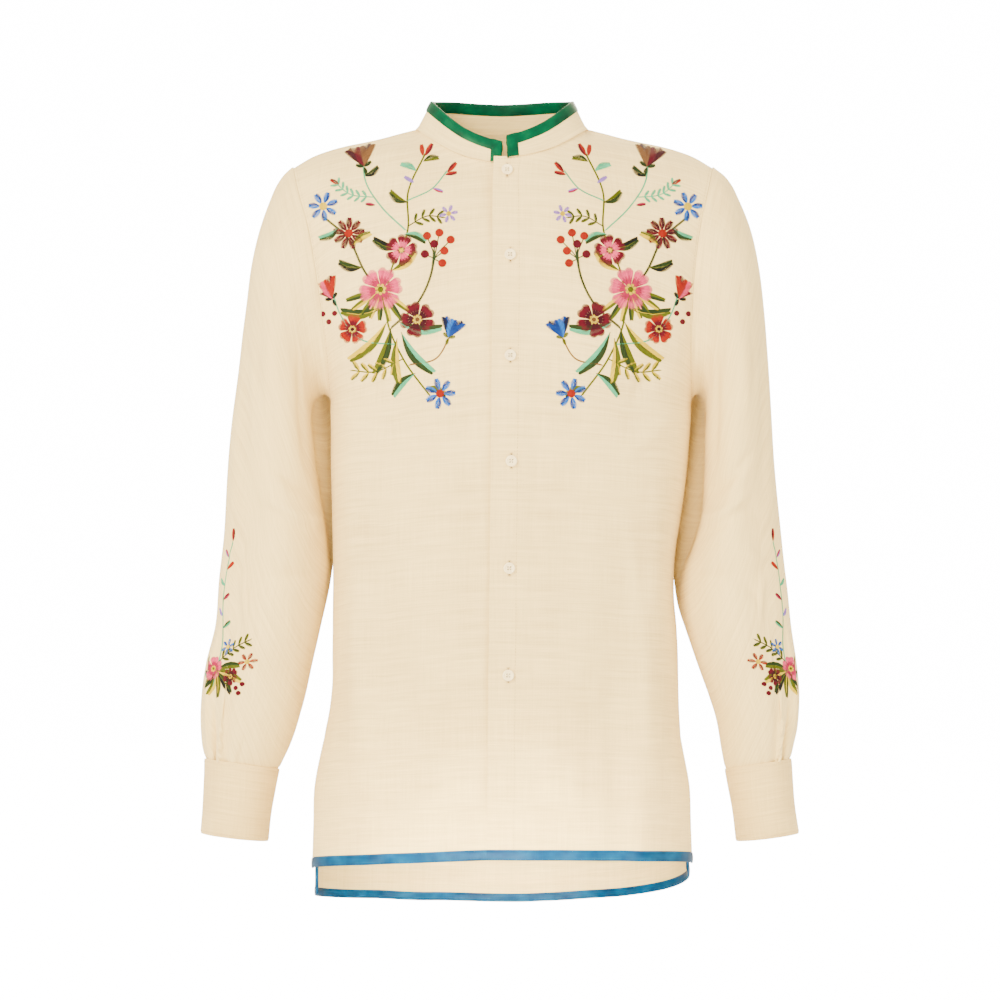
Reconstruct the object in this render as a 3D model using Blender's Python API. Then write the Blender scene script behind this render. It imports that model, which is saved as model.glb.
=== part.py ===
"""Linen shirt with a band collar, hollow and open, in the shape it has on a wearer.

The origin is the centre of the neck, where the collar meets the shoulders. +Z is up, the front faces -Y, and
the wearer's left is +X. Tables and lengths are in millimetres, and become metres when a piece is added to the
scene. Right and left are the wearer's. A side is -1 for the right and +1 for the left; a face is -1 for the
front and +1 for the back.
"""

import math

import bmesh
import bpy
import numpy as np
from mathutils import Matrix, Vector
from mathutils.bvhtree import BVHTree

MM = 0.001
RIGHT, LEFT = -1, 1
FRONT, BACK = -1, 1
SIDE_NAMES = {RIGHT: "right", LEFT: "left"}
FACE_NAMES = {FRONT: "front", BACK: "back"}

# Cloth thickness, and the gap that pieces keep at a seam
CLOTH = 1.2
CUFF_CLOTH = 2.0
COLLAR_CLOTH = 1.6
SATIN = 0.9
SEAM_GAP = 0.3


def table(columns, rows):
    """A table as one array of numbers for each named column."""
    return dict(zip(columns.split(), np.array(rows, dtype=float).T))


# Half widths of the body form, from the hem up to the armpit
WIDTHS = table("height right left", (
    (-790, 190.5, 190.5),
    (-726, 189.5, 190),
    (-680, 188, 188.5),
    (-640, 186.5, 186.5),
    (-600, 177.5, 178.5),
    (-560, 170.5, 176.5),
    (-500, 169, 175),
    (-455, 168.5, 171.5),
    (-415, 169, 173),
    (-370, 170, 180),
    (-330, 171, 185),
    (-290, 171, 188),
    (-265, 171, 189),
))

# Depths of the body form in front of and behind its middle
DEPTHS = table("height front back", (
    (-790, 124, 122),
    (-700, 122, 121),
    (-600, 117, 118),
    (-500, 114, 116),
    (-440, 115, 115),
    (-370, 119, 116),
    (-300, 124, 119),
    (-240, 125, 121),
    (-190, 121, 119),
    (-150, 115, 115),
    (-110, 106, 108),
))

# The body form's cross-section is an ellipse with fuller corners
FULLNESS = 2.3

# Armholes: upright ovals, whose distance from the middle changes with the height
ARMPIT_HEIGHT = -265
SHOULDER_TIP_HEIGHT = -31
ARMHOLE_DEPTHS = {FRONT: 62, BACK: 66}
ARMHOLES = table("height right left", (
    (-265, 171, 189),
    (-225, 173.5, 187.5),
    (-183, 177, 187),
    (-134, 184, 190),
    (-90, 192, 196),
    (-56, 202, 204),
    (-31, 208, 210),
))

# Neckline: an oval around the neck, low in front
NECK_WIDTH = 83
NECK_DEPTHS = {FRONT: 70, BACK: 62}
NECK_SIDE_HEIGHT = 8
NECK_FRONT_HEIGHTS = {RIGHT: -31, LEFT: -26}
NECK_BACK_HEIGHT = 9
SHOULDER_SEAM = table("share drop", (
    (0, 0),
    (0.1, 0.077),
    (0.34, 0.28),
    (0.64, 0.487),
    (0.84, 0.7),
    (1, 1),
))

# Hems: heights at the middle and at each side edge, and how late the hem turns from the one to the other
FRONT_HEM = {"middle": -710, "right": -730, "left": -725, "right_bend": 1.3, "left_bend": 1.8}
BACK_HEM = {"middle": -776.5, "right": -756, "left": -731, "right_bend": 1.6, "left_bend": 2}
HEM_BINDING_WIDTHS = {FRONT: 9, BACK: 7.5}
BINDING_WIDTH = 10
MITRE = 1.4
VENT_TOP = -600
VENT_START = -612

# The back's vent edges stand behind the fronts' and are tucked in behind them, more so at the hem
VENT_SPREAD = 2.2
VENT_TUCK = 2.5
VENT_TUCK_AT_HEM = 5

# Rows of points up a panel: below the vents, then to the armpits, around the armholes, up to the shoulders
FRONT_VENT_SHARES = (0.32, 0.64)
ROWS_SIDE_SEAM = 12
ROWS_ARMHOLE = 12
ROWS_FORM = 7
ARMPIT_ROW_MIDDLE = -330
FORM_TOP_MIDDLE = -150

# How the lengthwise lines reach the top: climb at the middle of the neckline, how much flatter they are at its
# side and how far they turn towards the neck between, in degrees; then the rise at the shoulder's tip. The rows
# there are smoothed more the higher they are, and are pulled to the armhole at their outer end.
CLIMB_AT_MIDDLE = 62
FLATTER_AT_SIDE = 44
TURN_TO_NECK = 36
RISE_AT_TIP = 0.05
SMOOTHING_PER_ROW = 3
ARMHOLE_PULL = 4

# Columns of points across a panel: along the neckline and along the shoulder seam
COLUMNS_NECK = 7
COLUMNS_SHOULDER = 7

# Front opening: the left front lies over the right front and is buttoned to it
OVER_EDGE_TOP = -8
OVER_EDGE_HEM = -15
UNDER_EDGE = 25
LAP = 2.2
LAP_AT_HEM = 4.6
LAP_HEM_ZONE = (40, 12)
LAP_AT_NECK = 3.8
LAP_NECK_ZONE = (150, 40)
LAP_FULL_TO = 28
LAP_GONE_AT = 64

# Soft folds of the body: from a top point to a bottom point as seen from its face, half width, and height of
# the ridge (below zero for a trough). A fold that runs out through the hem has its bottom point below it.
BODY_FOLDS = table("face top_x top_z bottom_x bottom_z half_width height", (
    (FRONT, -150, -250, -122, -860, 15, 5),
    (FRONT, -126, -330, -98, -860, 14, -4),
    (FRONT, -70, -430, -92, -860, 18, 3),
    (FRONT, 150, -280, 130, -860, 16, 5),
    (FRONT, 118, -340, 110, -860, 15, -4),
    (FRONT, 72, -450, 90, -860, 18, 3),
    (FRONT, -165, -130, -112, -330, 13, -3.5),
    (FRONT, 168, -130, 116, -340, 13, -3.5),
    (BACK, -140, -240, -124, -900, 16, 5),
    (BACK, -100, -330, -90, -900, 16, -4),
    (BACK, -40, -200, -54, -900, 18, 3),
    (BACK, 30, -260, 18, -900, 18, -3),
    (BACK, 78, -300, 90, -900, 17, 4),
    (BACK, 120, -260, 132, -900, 15, -4),
))
FOLD_FADE = 110
SEAM_FADE_ROWS = 4
SEAM_FADE_COLUMNS = 3

# Sleeves: sections from the armhole to the cuff. The outer line runs over the top and down the outside, the
# inner line runs from the armpit down the inside; widths are distances from the middle of the body. Behind the
# inner line the cloth hangs in towards the body, by in_right and in_left. A section's front is higher than its
# back by rise, as a share of its depth.
SLEEVE_COLUMNS = (
    "outer_z outer_right outer_left inner_z inner_right inner_left front back in_right in_left rise"
)
SLEEVE_SECTIONS = table(SLEEVE_COLUMNS, (
    (-31, 208, 210, -265, 171, 189, 62, 66, 0, 0, 0),
    (-32, 210, 212, -261, 172, 190, 62.5, 66.5, 0, 0, 0),
    (-34.5, 213, 215, -258, 175.5, 193, 63, 67, 2, 1, 0),
    (-39, 217.5, 221, -258, 181, 197.5, 64, 68, 7, 3, 0),
    (-48, 223.7, 228.2, -263.5, 186, 201, 65, 69, 14, 8, 0),
    (-64, 231, 236, -276, 189, 202.5, 66, 70, 20, 14, 0),
    (-92, 241, 247, -293, 188.5, 202, 67, 71, 24, 19, 0),
    (-130, 250, 256, -313, 186.5, 201, 68, 71, 25, 23, 0),
    (-175, 256, 261.5, -334, 184, 200.5, 69, 70, 24, 26, 0),
    (-225, 262, 265.5, -357, 180.5, 199.5, 70, 67, 22, 28, 0),
    (-280, 268.5, 269, -382, 176.5, 197, 70, 63, 18, 28, 0),
    (-335, 273.5, 272.5, -408, 173.5, 189, 69, 58, 13, 23, 0),
    (-390, 277, 278, -436, 173, 179, 68, 53, 8, 14, 0),
    (-443, 283, 284, -466, 177, 177, 66, 49, 4, 6, 0),
    (-487, 286.5, 288.5, -497, 183, 185, 64, 45, 0, 0, 0.01),
    (-525, 296, 294, -528, 189.5, 195.5, 62, 41, 0, 0, 0.02),
    (-560, 300.5, 297.5, -559, 196.5, 206.5, 60, 37, 0, 0, 0.035),
    (-590, 301, 295.5, -589, 205, 215.5, 57, 33, 0, 0, 0.05),
    (-608, 299.5, 291.5, -612, 213.5, 219.5, 53.5, 30, 0, 0, 0.06),
    (-621, 297, 289, -631.5, 223, 223, 49, 28, 0, 0, 0.07),
))
SLEEVE_BLEND_ROWS = 6
COLUMNS_AROUND_SLEEVE = 24

# Long soft folds of the sleeves: angle from the outer line towards the front, first and last section, half
# width in degrees, and height
SLEEVE_FOLDS = table("angle first last half_width height", (
    (28, 5, 15, 15, 3),
    (62, 7, 16, 14, -3.5),
    (100, 9, 17, 15, 3),
    (140, 8, 15, 16, -3),
    (-30, 6, 15, 15, 3),
    (-70, 8, 16, 15, -3.5),
    (-115, 9, 16, 16, 3),
))

# Pleats at the cuff: the sleeve's front columns of points drift together towards the pleats, to an offset in
# degrees from one of them, and each pleat lifts one edge and tucks the next
PLEAT_ANGLES = (38, 63)
PLEAT_COLUMNS = table("column pleat offset", (
    (1, 0, -8),
    (2, 0, -2.5),
    (3, 0, 2.5),
    (4, 1, -7),
    (5, 1, -2.5),
    (6, 1, 2.5),
    (7, 1, 13),
    (8, 1, 31),
    (9, 1, 51),
    (10, 1, 72),
    (11, 1, 94),
))
PLEAT_EDGES = (2, 5)
PLEAT_LIFT = 1.3
PLEAT_TUCK = 2.6
PLEAT_DRIFT_SECTIONS = (9, 14)
PLEAT_SECTIONS = (14, 18)

# Cuffs: a band that laps over itself at the back of the outer side
CUFF_COLUMN_NAMES = "outer_z outer_right outer_left inner_z inner_right inner_left front back rise"
CUFF_SECTIONS = table(CUFF_COLUMN_NAMES, (
    (-621.3, 297.5, 289.5, -631.8, 222.5, 222.5, 49.6, 28.6, 0.07),
    (-645, 298, 291, -654.5, 227, 227, 50.4, 27.5, 0.06),
    (-670, 299.5, 293, -679, 231, 231, 51.2, 26.4, 0.055),
    (-695.5, 301.5, 297, -703.8, 233.5, 233.5, 52, 25.2, 0.05),
))
CUFF_START_ANGLE = -72
CUFF_TURN = 384
CUFF_COLUMNS = 25
CUFF_LAP = 2.7
CUFF_LAP_TURNS = (324, 357)

# Strip over the slit above each cuff, on the same side as the cuff's lap
PLACKET_COLUMNS = (19, 21)
PLACKET_FIRST_SECTION = 15
PLACKET_CLOTH = 1.0

# Collar: height and inward lean at angles from the middle of the front round to the middle of the back
COLLAR = table("angle height lean", (
    (0, 19, 0.34),
    (45, 24.2, 0.42),
    (90, 26, 0.5),
    (130, 28.6, 0.38),
    (155, 28.1, 0.26),
    (180, 27.4, 0.22),
    (205, 28.1, 0.26),
))
COLLAR_ENDS = {RIGHT: -1.5, LEFT: 6.5}
COLLAR_BINDING_SHORTER = 1.5

# Buttons
BUTTONS = table("x height", (
    (5, -40),
    (8, -125),
    (8, -223),
    (9, -325),
    (7, -429),
    (6, -533),
))
BUTTON_PROFILE = (
    (0, 1.7),
    (3.9, 1.7),
    (4.5, 2.2),
    (5.45, 2.1),
    (5.75, 1.1),
    (4.55, 0),
    (0, 0),
)
BUTTON_STEPS = 14
BUTTON_CLEARANCE = 0.5
CUFF_BUTTON_ANGLE = 299

# Points closer than this are one point, and edges turned by more than this angle are sharp
MERGE = 0.00001
SHARP_ANGLE = 40

# A place well in front of the shirt
WELL_IN_FRONT = -300


def smooth(at, knots, values):
    """The value at a place between a table's rows, on a smooth curve through the rows."""
    slopes = np.gradient(values, knots)
    at = np.clip(at, knots[0], knots[-1])
    row = np.clip(np.searchsorted(knots, at) - 1, 0, len(knots) - 2)
    step = knots[row + 1] - knots[row]
    t = (at - knots[row]) / step
    return (
        (2 * t**3 - 3 * t**2 + 1) * values[row]
        + (t**3 - 2 * t**2 + t) * step * slopes[row]
        + (3 * t**2 - 2 * t**3) * values[row + 1]
        + (t**3 - t**2) * step * slopes[row + 1]
    )


def ease(value, start, end):
    """A soft step from 0 at the start to 1 at the end."""
    t = np.clip((value - start) / (end - start), 0, 1)
    return t * t * (3 - 2 * t)


def unit(vectors):
    """The same directions with a length of one."""
    return vectors / np.linalg.norm(vectors, axis=-1, keepdims=True)


def grid_normals(points, outward, around=False):
    """Unit normals of a grid of points, rows by columns; `around` joins its last column to its first."""
    along = np.gradient(points, axis=0)
    if around:
        across = (np.roll(points, -1, axis=1) - np.roll(points, 1, axis=1)) / 2
    else:
        across = np.gradient(points, axis=1)
    return unit(outward * np.cross(across, along))


def body_depth(face, height):
    """How far the body form reaches to the front or the back at a height."""
    return smooth(height, DEPTHS["height"], DEPTHS[FACE_NAMES[face]])


def armhole_depth(face, height):
    """How far the armhole reaches to the front or the back at a height."""
    middle = (ARMPIT_HEIGHT + SHOULDER_TIP_HEIGHT) / 2
    reach = (SHOULDER_TIP_HEIGHT - ARMPIT_HEIGHT) / 2
    return ARMHOLE_DEPTHS[face] * np.sqrt(np.clip(1 - ((height - middle) / reach) ** 2, 0, 1))


def armhole_width(side, height):
    """The armhole's distance from the middle of the body at a height."""
    return smooth(height, ARMHOLES["height"], ARMHOLES[SIDE_NAMES[side]])


def body_width(side, face, height):
    """Half width of the body form: from the table, and above the armpit wide enough for the armhole."""
    below = smooth(height, WIDTHS["height"], WIDTHS[SIDE_NAMES[side]])
    share = armhole_depth(face, height) / body_depth(face, height)
    above = armhole_width(side, height) / (1 - share**FULLNESS) ** (1 / FULLNESS)
    return np.where(height < ARMPIT_HEIGHT, below, above)


def body_point(side, face, angle, height):
    """Points of the body form, at angles from the middle line towards the side."""
    sine, cosine = np.sin(angle), np.cos(angle)
    reach = (np.abs(sine) ** FULLNESS + np.abs(cosine) ** FULLNESS) ** (1 / FULLNESS)
    x = side * body_width(side, face, height) * sine / reach
    y = face * body_depth(face, height) * cosine / reach
    return np.stack([x, y, height + 0 * x], axis=-1)


def angle_at_width(share):
    """The angle at which the body form reaches a share of its half width."""
    part = np.abs(share) ** FULLNESS
    return np.sign(share) * np.arctan((part / (1 - part)) ** (1 / FULLNESS))


def body_row(side, face, first_angle, last_angle, middle_height, edge_height, shares):
    """One row of points on the body form, which climbs or falls from the middle line to the edge."""
    angle = first_angle + (last_angle - first_angle) * shares
    hem = FRONT_HEM if face == FRONT else BACK_HEM
    climb = np.clip(angle / last_angle, 0, 1) ** hem[SIDE_NAMES[side] + "_bend"]
    return body_point(side, face, angle, middle_height + (edge_height - middle_height) * climb)


def row_heights(face, side):
    """Heights of a panel's rows at its middle line and its edge, up to the armpit, from the hem."""
    hem = FRONT_HEM if face == FRONT else BACK_HEM
    hem_edge = hem[SIDE_NAMES[side]]
    strip = HEM_BINDING_WIDTHS[face]
    middles = [hem["middle"], hem["middle"] + strip]
    edges = [hem_edge, hem_edge + strip]
    for share in FRONT_VENT_SHARES:
        middles.append(middles[1] + (VENT_START - middles[1]) * share)
        edges.append(edges[1] + (VENT_START - edges[1]) * share)
    middles.append(VENT_START)
    edges.append(VENT_START)
    middles.extend(np.linspace(VENT_TOP, ARMPIT_ROW_MIDDLE, ROWS_SIDE_SEAM + 1))
    edges.extend(np.linspace(VENT_TOP, ARMPIT_HEIGHT, ROWS_SIDE_SEAM + 1))
    return middles, edges


def armhole_turns():
    """Angles around one half of the armhole, from the armpit to the shoulder tip."""
    return np.linspace(0, math.pi, ROWS_ARMHOLE + 1)


def armhole_points(side, face):
    """Points of one half of the armhole, from the armpit to the shoulder tip."""
    middle = (ARMPIT_HEIGHT + SHOULDER_TIP_HEIGHT) / 2
    reach = (SHOULDER_TIP_HEIGHT - ARMPIT_HEIGHT) / 2
    turns = armhole_turns()
    height = middle - reach * np.cos(turns)
    depth = face * ARMHOLE_DEPTHS[face] * np.sin(turns)
    return np.stack([side * armhole_width(side, height), depth, height], axis=-1)


def neck_points(side, face, angles):
    """Points of the neckline, at angles from the middle of its face towards the side."""
    middle_height = NECK_FRONT_HEIGHTS[side] if face == FRONT else NECK_BACK_HEIGHT
    x = side * NECK_WIDTH * np.sin(angles)
    y = face * NECK_DEPTHS[face] * np.cos(angles)
    z = NECK_SIDE_HEIGHT + (middle_height - NECK_SIDE_HEIGHT) * np.cos(angles) ** 2
    return np.stack([x, y, z], axis=-1)


def shoulder_points(side):
    """Points of the shoulder seam, from the neckline to the armhole, without the first."""
    share = np.linspace(0, 1, COLUMNS_SHOULDER + 1)[1:]
    tip_width = armhole_width(side, SHOULDER_TIP_HEIGHT)
    x = side * (NECK_WIDTH + (tip_width - NECK_WIDTH) * share)
    drop = smooth(share, SHOULDER_SEAM["share"], SHOULDER_SEAM["drop"])
    z = NECK_SIDE_HEIGHT + (SHOULDER_TIP_HEIGHT - NECK_SIDE_HEIGHT) * drop
    return np.stack([x, 0 * x, z], axis=-1)


def arrival(side, face, neck_angles):
    """Directions in which the lengthwise lines of a panel reach the neckline and the shoulder seam."""
    climb = np.radians(CLIMB_AT_MIDDLE - FLATTER_AT_SIDE * np.sin(neck_angles))
    turn = np.radians(TURN_TO_NECK) * np.sin(2 * np.abs(neck_angles))
    at_neck = np.stack([
        -side * np.sign(neck_angles) * np.sin(turn) * np.cos(climb),
        -face * np.cos(turn) * np.cos(climb),
        np.sin(climb),
    ], axis=-1)
    share = np.linspace(0, 1, COLUMNS_SHOULDER + 1)[1:, None]
    at_tip = np.array([0, -face, RISE_AT_TIP])
    return np.vstack([at_neck, unit(at_neck[-1] * (1 - share) ** 2 + at_tip * (1 - (1 - share) ** 2))])


def half_panel(side, face, neck_angles, edge_x):
    """Outer points of one side of a panel: rows from the hem to the shoulder, columns from the middle out.

    Below the shoulder the rows lie on the body form. From there each lengthwise line curves over to the top.
    """
    shares = np.linspace(0, 1, COLUMNS_NECK + COLUMNS_SHOULDER + 1)
    middles, edges = row_heights(face, side)
    quarter = math.pi / 2
    armhole = armhole_points(side, face)
    rows = []
    for middle_height, edge_height in zip(middles, edges):
        first = angle_at_width(edge_x(middle_height) / body_width(side, face, middle_height))
        rows.append(body_row(side, face, first, quarter, middle_height, edge_height, shares))
    for number in range(1, ROWS_FORM + 1):
        step = number / ROWS_FORM
        middle_height = ARMPIT_ROW_MIDDLE + (FORM_TOP_MIDDLE - ARMPIT_ROW_MIDDLE) * step
        x, y, z = armhole[number]
        first = angle_at_width(edge_x(middle_height) / body_width(side, face, middle_height))
        last = angle_at_width(abs(x) / body_width(side, face, z))
        rows.append(body_row(side, face, first, last, middle_height, z, shares))
    top = np.vstack([neck_points(side, face, neck_angles), shoulder_points(side)])
    rows_left = ROWS_ARMHOLE - ROWS_FORM
    start = rows[-1]
    start_pull = (rows[-1] - rows[-2]) * rows_left
    reach = np.linalg.norm(top - start, axis=-1, keepdims=True)
    end_pull = arrival(side, face, neck_angles) * reach
    for number in range(1, rows_left + 1):
        t = number / rows_left
        row = (
            (2 * t**3 - 3 * t**2 + 1) * start
            + (t**3 - 2 * t**2 + t) * start_pull
            + (3 * t**2 - 2 * t**3) * top
            + (t**3 - t**2) * end_pull
        )
        correction = armhole[ROWS_FORM + number] - row[-1]
        row = row + correction * shares[:, None] ** ARMHOLE_PULL
        for _ in range(0 if number == rows_left else SMOOTHING_PER_ROW * number):
            row[1:-1] = row[1:-1] / 2 + (row[:-2] + row[2:]) / 4
        rows.append(row)
    return np.array(rows)


def fold_height(face, points):
    """How far the soft folds lift the cloth at points of the body."""
    x, z = points[..., 0], points[..., 2]
    lift = 0 * x
    for number in np.flatnonzero(BODY_FOLDS["face"] == face):
        fold = {name: values[number] for name, values in BODY_FOLDS.items()}
        share = (z - fold["top_z"]) / (fold["bottom_z"] - fold["top_z"])
        middle = fold["top_x"] + (fold["bottom_x"] - fold["top_x"]) * share
        ends = ease(fold["top_z"] - z, 0, FOLD_FADE) * ease(z - fold["bottom_z"], 0, FOLD_FADE)
        lift = lift + fold["height"] * ends * np.exp(-(((x - middle) / fold["half_width"]) ** 2))
    return lift


def fade_to_seams(rows, columns, both_sides):
    """1 in the middle of a panel and 0 along its side seams, armholes, neckline and shoulder seams."""
    row = np.arange(rows)[:, None]
    column = np.arange(columns)[None, :]
    fade = ease(rows - 1 - row, 0, SEAM_FADE_ROWS) * ease(columns - 1 - column, 0, SEAM_FADE_COLUMNS)
    if both_sides:
        fade = fade * ease(column, 0, SEAM_FADE_COLUMNS)
    return fade


def no_lean(normals, axis):
    """The normals with no part along one axis, so that the edges of two pieces face each other squarely."""
    flat = normals.copy()
    flat[..., axis] = 0
    return unit(flat)


def vent_rows():
    """How many rows lie below the top of the vents."""
    return len(FRONT_VENT_SHARES) + 3


def lap_height(x, z):
    """How far the left front stands off the body form where it lies over the right front."""
    above_hem = z - FRONT_HEM["middle"]
    below_neck = NECK_FRONT_HEIGHTS[LEFT] - z
    height = LAP + (LAP_AT_HEM - LAP) * ease(above_hem, *LAP_HEM_ZONE)
    height = height + (LAP_AT_NECK - LAP) * ease(below_neck, *LAP_NECK_ZONE)
    return height * (1 - ease(x, LAP_FULL_TO, LAP_GONE_AT))


def over_edge(height):
    """Where the edge of the left front runs, from the middle of the body towards the wearer's left."""
    share = (height - NECK_FRONT_HEIGHTS[LEFT]) / (FRONT_HEM["middle"] - NECK_FRONT_HEIGHTS[LEFT])
    return OVER_EDGE_TOP + (OVER_EDGE_HEM - OVER_EDGE_TOP) * share


def under_edge(height):
    """Where the edge of the right front runs, from the middle of the body towards the wearer's right."""
    return -UNDER_EDGE + 0 * height


def front_panel(side):
    """Outer points and normals of one front."""
    edge_x = over_edge if side == LEFT else under_edge
    collar_end = side * COLLAR_ENDS[side]
    first = math.asin(edge_x(NECK_FRONT_HEIGHTS[side]) / NECK_WIDTH)
    second = math.asin(collar_end / NECK_WIDTH)
    neck_angles = np.concatenate([[first], np.linspace(second, math.pi / 2, COLUMNS_NECK)])
    points = half_panel(side, FRONT, neck_angles, edge_x)
    normals = grid_normals(points, side)
    fade = fade_to_seams(*points.shape[:2], both_sides=False)
    points = points + normals * (fold_height(FRONT, points) * fade)[..., None]
    if side == LEFT:
        points[..., 1] -= lap_height(points[..., 0], points[..., 2])
    side_rows = vent_rows() + ROWS_SIDE_SEAM + 1
    points[:side_rows, -1, 1] -= SEAM_GAP / 2
    points[-1, COLUMNS_NECK:, 1] -= SEAM_GAP / 2
    normals = grid_normals(points, side)
    normals[:side_rows, -1] = no_lean(normals[:side_rows, -1], 1)
    normals[-1, COLUMNS_NECK:] = no_lean(normals[-1, COLUMNS_NECK:], 1)
    return points, normals


def back_panel():
    """Outer points and normals of the back, with columns from the wearer's right to the left."""
    neck_angles = np.linspace(0, math.pi / 2, COLUMNS_NECK + 1)
    halves = {side: half_panel(side, BACK, neck_angles, lambda height: 0 * height) for side in (RIGHT, LEFT)}
    points = np.concatenate([halves[RIGHT][:, :0:-1], halves[LEFT]], axis=1)
    normals = grid_normals(points, -1)
    fade = fade_to_seams(*points.shape[:2], both_sides=True)
    points = points + normals * (fold_height(BACK, points) * fade)[..., None]
    low = vent_rows()
    side_rows = low + ROWS_SIDE_SEAM + 1
    for edge, towards_middle in ((0, 1), (-1, -1)):
        points[low:side_rows, edge, 1] += SEAM_GAP / 2
        points[:low, edge, 1] += VENT_SPREAD
        points[-1, edge, 1] += SEAM_GAP / 2
        drop = (VENT_TOP - points[:low, edge, 2]) / (VENT_TOP - BACK_HEM["middle"])
        tuck = VENT_TUCK + (VENT_TUCK_AT_HEM - VENT_TUCK) * drop
        points[:low, edge, 0] += towards_middle * tuck
        points[:low, edge + towards_middle, 0] += towards_middle * tuck / 2
    neck_first = COLUMNS_SHOULDER
    points[-1, :neck_first + 1, 1] = SEAM_GAP / 2
    points[-1, -neck_first - 1:, 1] = SEAM_GAP / 2
    normals = grid_normals(points, -1)
    for edge in (0, -1):
        normals[:side_rows, edge] = no_lean(normals[:side_rows, edge], 1)
    normals[-1, :neck_first + 1] = no_lean(normals[-1, :neck_first + 1], 1)
    normals[-1, -neck_first - 1:] = no_lean(normals[-1, -neck_first - 1:], 1)
    return points, normals


def oval(section, side, angles):
    """One oval section of a sleeve or a cuff, at angles from its outer line towards the front."""
    name = SIDE_NAMES[side]
    outer = np.array([side * section["outer_" + name], 0, section["outer_z"]])
    inner = np.array([side * section["inner_" + name], 0, section["inner_z"]])
    middle = (outer + inner) / 2
    depth = np.where(np.sin(angles) > 0, section["front"], section["back"])
    cosine, sine = np.cos(angles)[:, None], np.sin(angles)[:, None]
    behind = 2 * np.clip(-sine, 0, 1) * np.clip(-cosine, 0, 1)
    inward = np.array([-side * section.get("in_" + name, 0), 0, 0])
    forward = np.array([0, -1, section["rise"]])
    return middle + (outer - middle) * cosine + forward * depth[:, None] * sine + inward * behind


def section_at(sections, row):
    """One row of a table of sections."""
    return {name: values[row] for name, values in sections.items()}


def sleeve_angles(row):
    """Angles of the sleeve's columns at a section: even at the armhole, drawn to the pleats at the cuff."""
    even = np.arange(COLUMNS_AROUND_SLEEVE) * 2 * math.pi / COLUMNS_AROUND_SLEEVE
    drawn = even.copy()
    for column, pleat, offset in zip(*PLEAT_COLUMNS.values()):
        drawn[int(column)] = math.radians(PLEAT_ANGLES[int(pleat)] + offset)
    return even + (drawn - even) * ease(row, *PLEAT_DRIFT_SECTIONS)


def sleeve_lift(row, angles):
    """How far the folds and pleats of a sleeve move its points out at a section."""
    lift = 0 * angles
    for number in range(len(SLEEVE_FOLDS["angle"])):
        fold = {name: values[number] for name, values in SLEEVE_FOLDS.items()}
        away = np.degrees(np.angle(np.exp(1j * (angles - math.radians(fold["angle"])))))
        length = np.sin(math.pi * np.clip((row - fold["first"]) / (fold["last"] - fold["first"]), 0, 1))
        lift = lift + fold["height"] * length * np.exp(-((away / fold["half_width"]) ** 2))
    pleat = ease(row, *PLEAT_SECTIONS)
    for column in PLEAT_EDGES:
        lift[column] += PLEAT_LIFT * pleat
        lift[column + 1] -= PLEAT_TUCK * pleat
    return lift


def sleeve(side, armhole, armhole_normals, armhole_outward):
    """Outer points and normals of a sleeve: rows from the armhole to the cuff, columns around it."""
    count = len(SLEEVE_SECTIONS["front"])
    first_oval = oval(section_at(SLEEVE_SECTIONS, 0), side, sleeve_angles(0))
    rows = [armhole + armhole_outward * SEAM_GAP]
    for row in range(1, count):
        angles = sleeve_angles(row)
        section = oval(section_at(SLEEVE_SECTIONS, row), side, angles)
        stay = 1 - ease(row, 0, SLEEVE_BLEND_ROWS)
        middle = section.mean(axis=0)
        rows.append(section + stay * (armhole - first_oval)
                    + unit(section - middle) * sleeve_lift(row, angles)[:, None])
    points = np.array(rows)
    normals = grid_normals(points, side, around=True)
    normals[0] = armhole_normals
    end = oval(section_at(SLEEVE_SECTIONS, count - 1), side, np.radians([0.0, 90.0, 180.0]))
    end_axis = unit(np.cross(end[1] - end[0], end[2] - end[0]))
    normals[-1] = unit(normals[-1] - (normals[-1] @ end_axis)[:, None] * end_axis)
    return points, normals


def cuff(side):
    """Outer points and normals of a cuff: rows from the sleeve down, columns from one end to the other."""
    turned = np.linspace(0, CUFF_TURN, CUFF_COLUMNS)
    angles = np.radians(CUFF_START_ANGLE + turned)
    lap = CUFF_LAP * ease(turned, *CUFF_LAP_TURNS)
    rows = []
    for row in range(len(CUFF_SECTIONS["front"])):
        section = oval(section_at(CUFF_SECTIONS, row), side, angles)
        middle = oval(section_at(CUFF_SECTIONS, row), side, np.radians([0.0, 180.0])).mean(axis=0)
        rows.append(section + unit(section - middle) * lap[:, None])
    points = np.array(rows)
    normals = grid_normals(points, side)
    for row in (0, -1):
        quarter, half = points[row, CUFF_COLUMNS // 4], points[row, CUFF_COLUMNS // 2]
        axis = unit(np.cross(quarter - points[row, 0], half - points[row, 0]))
        normals[row] = unit(normals[row] - (normals[row] @ axis)[:, None] * axis)
    return points, normals


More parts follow.
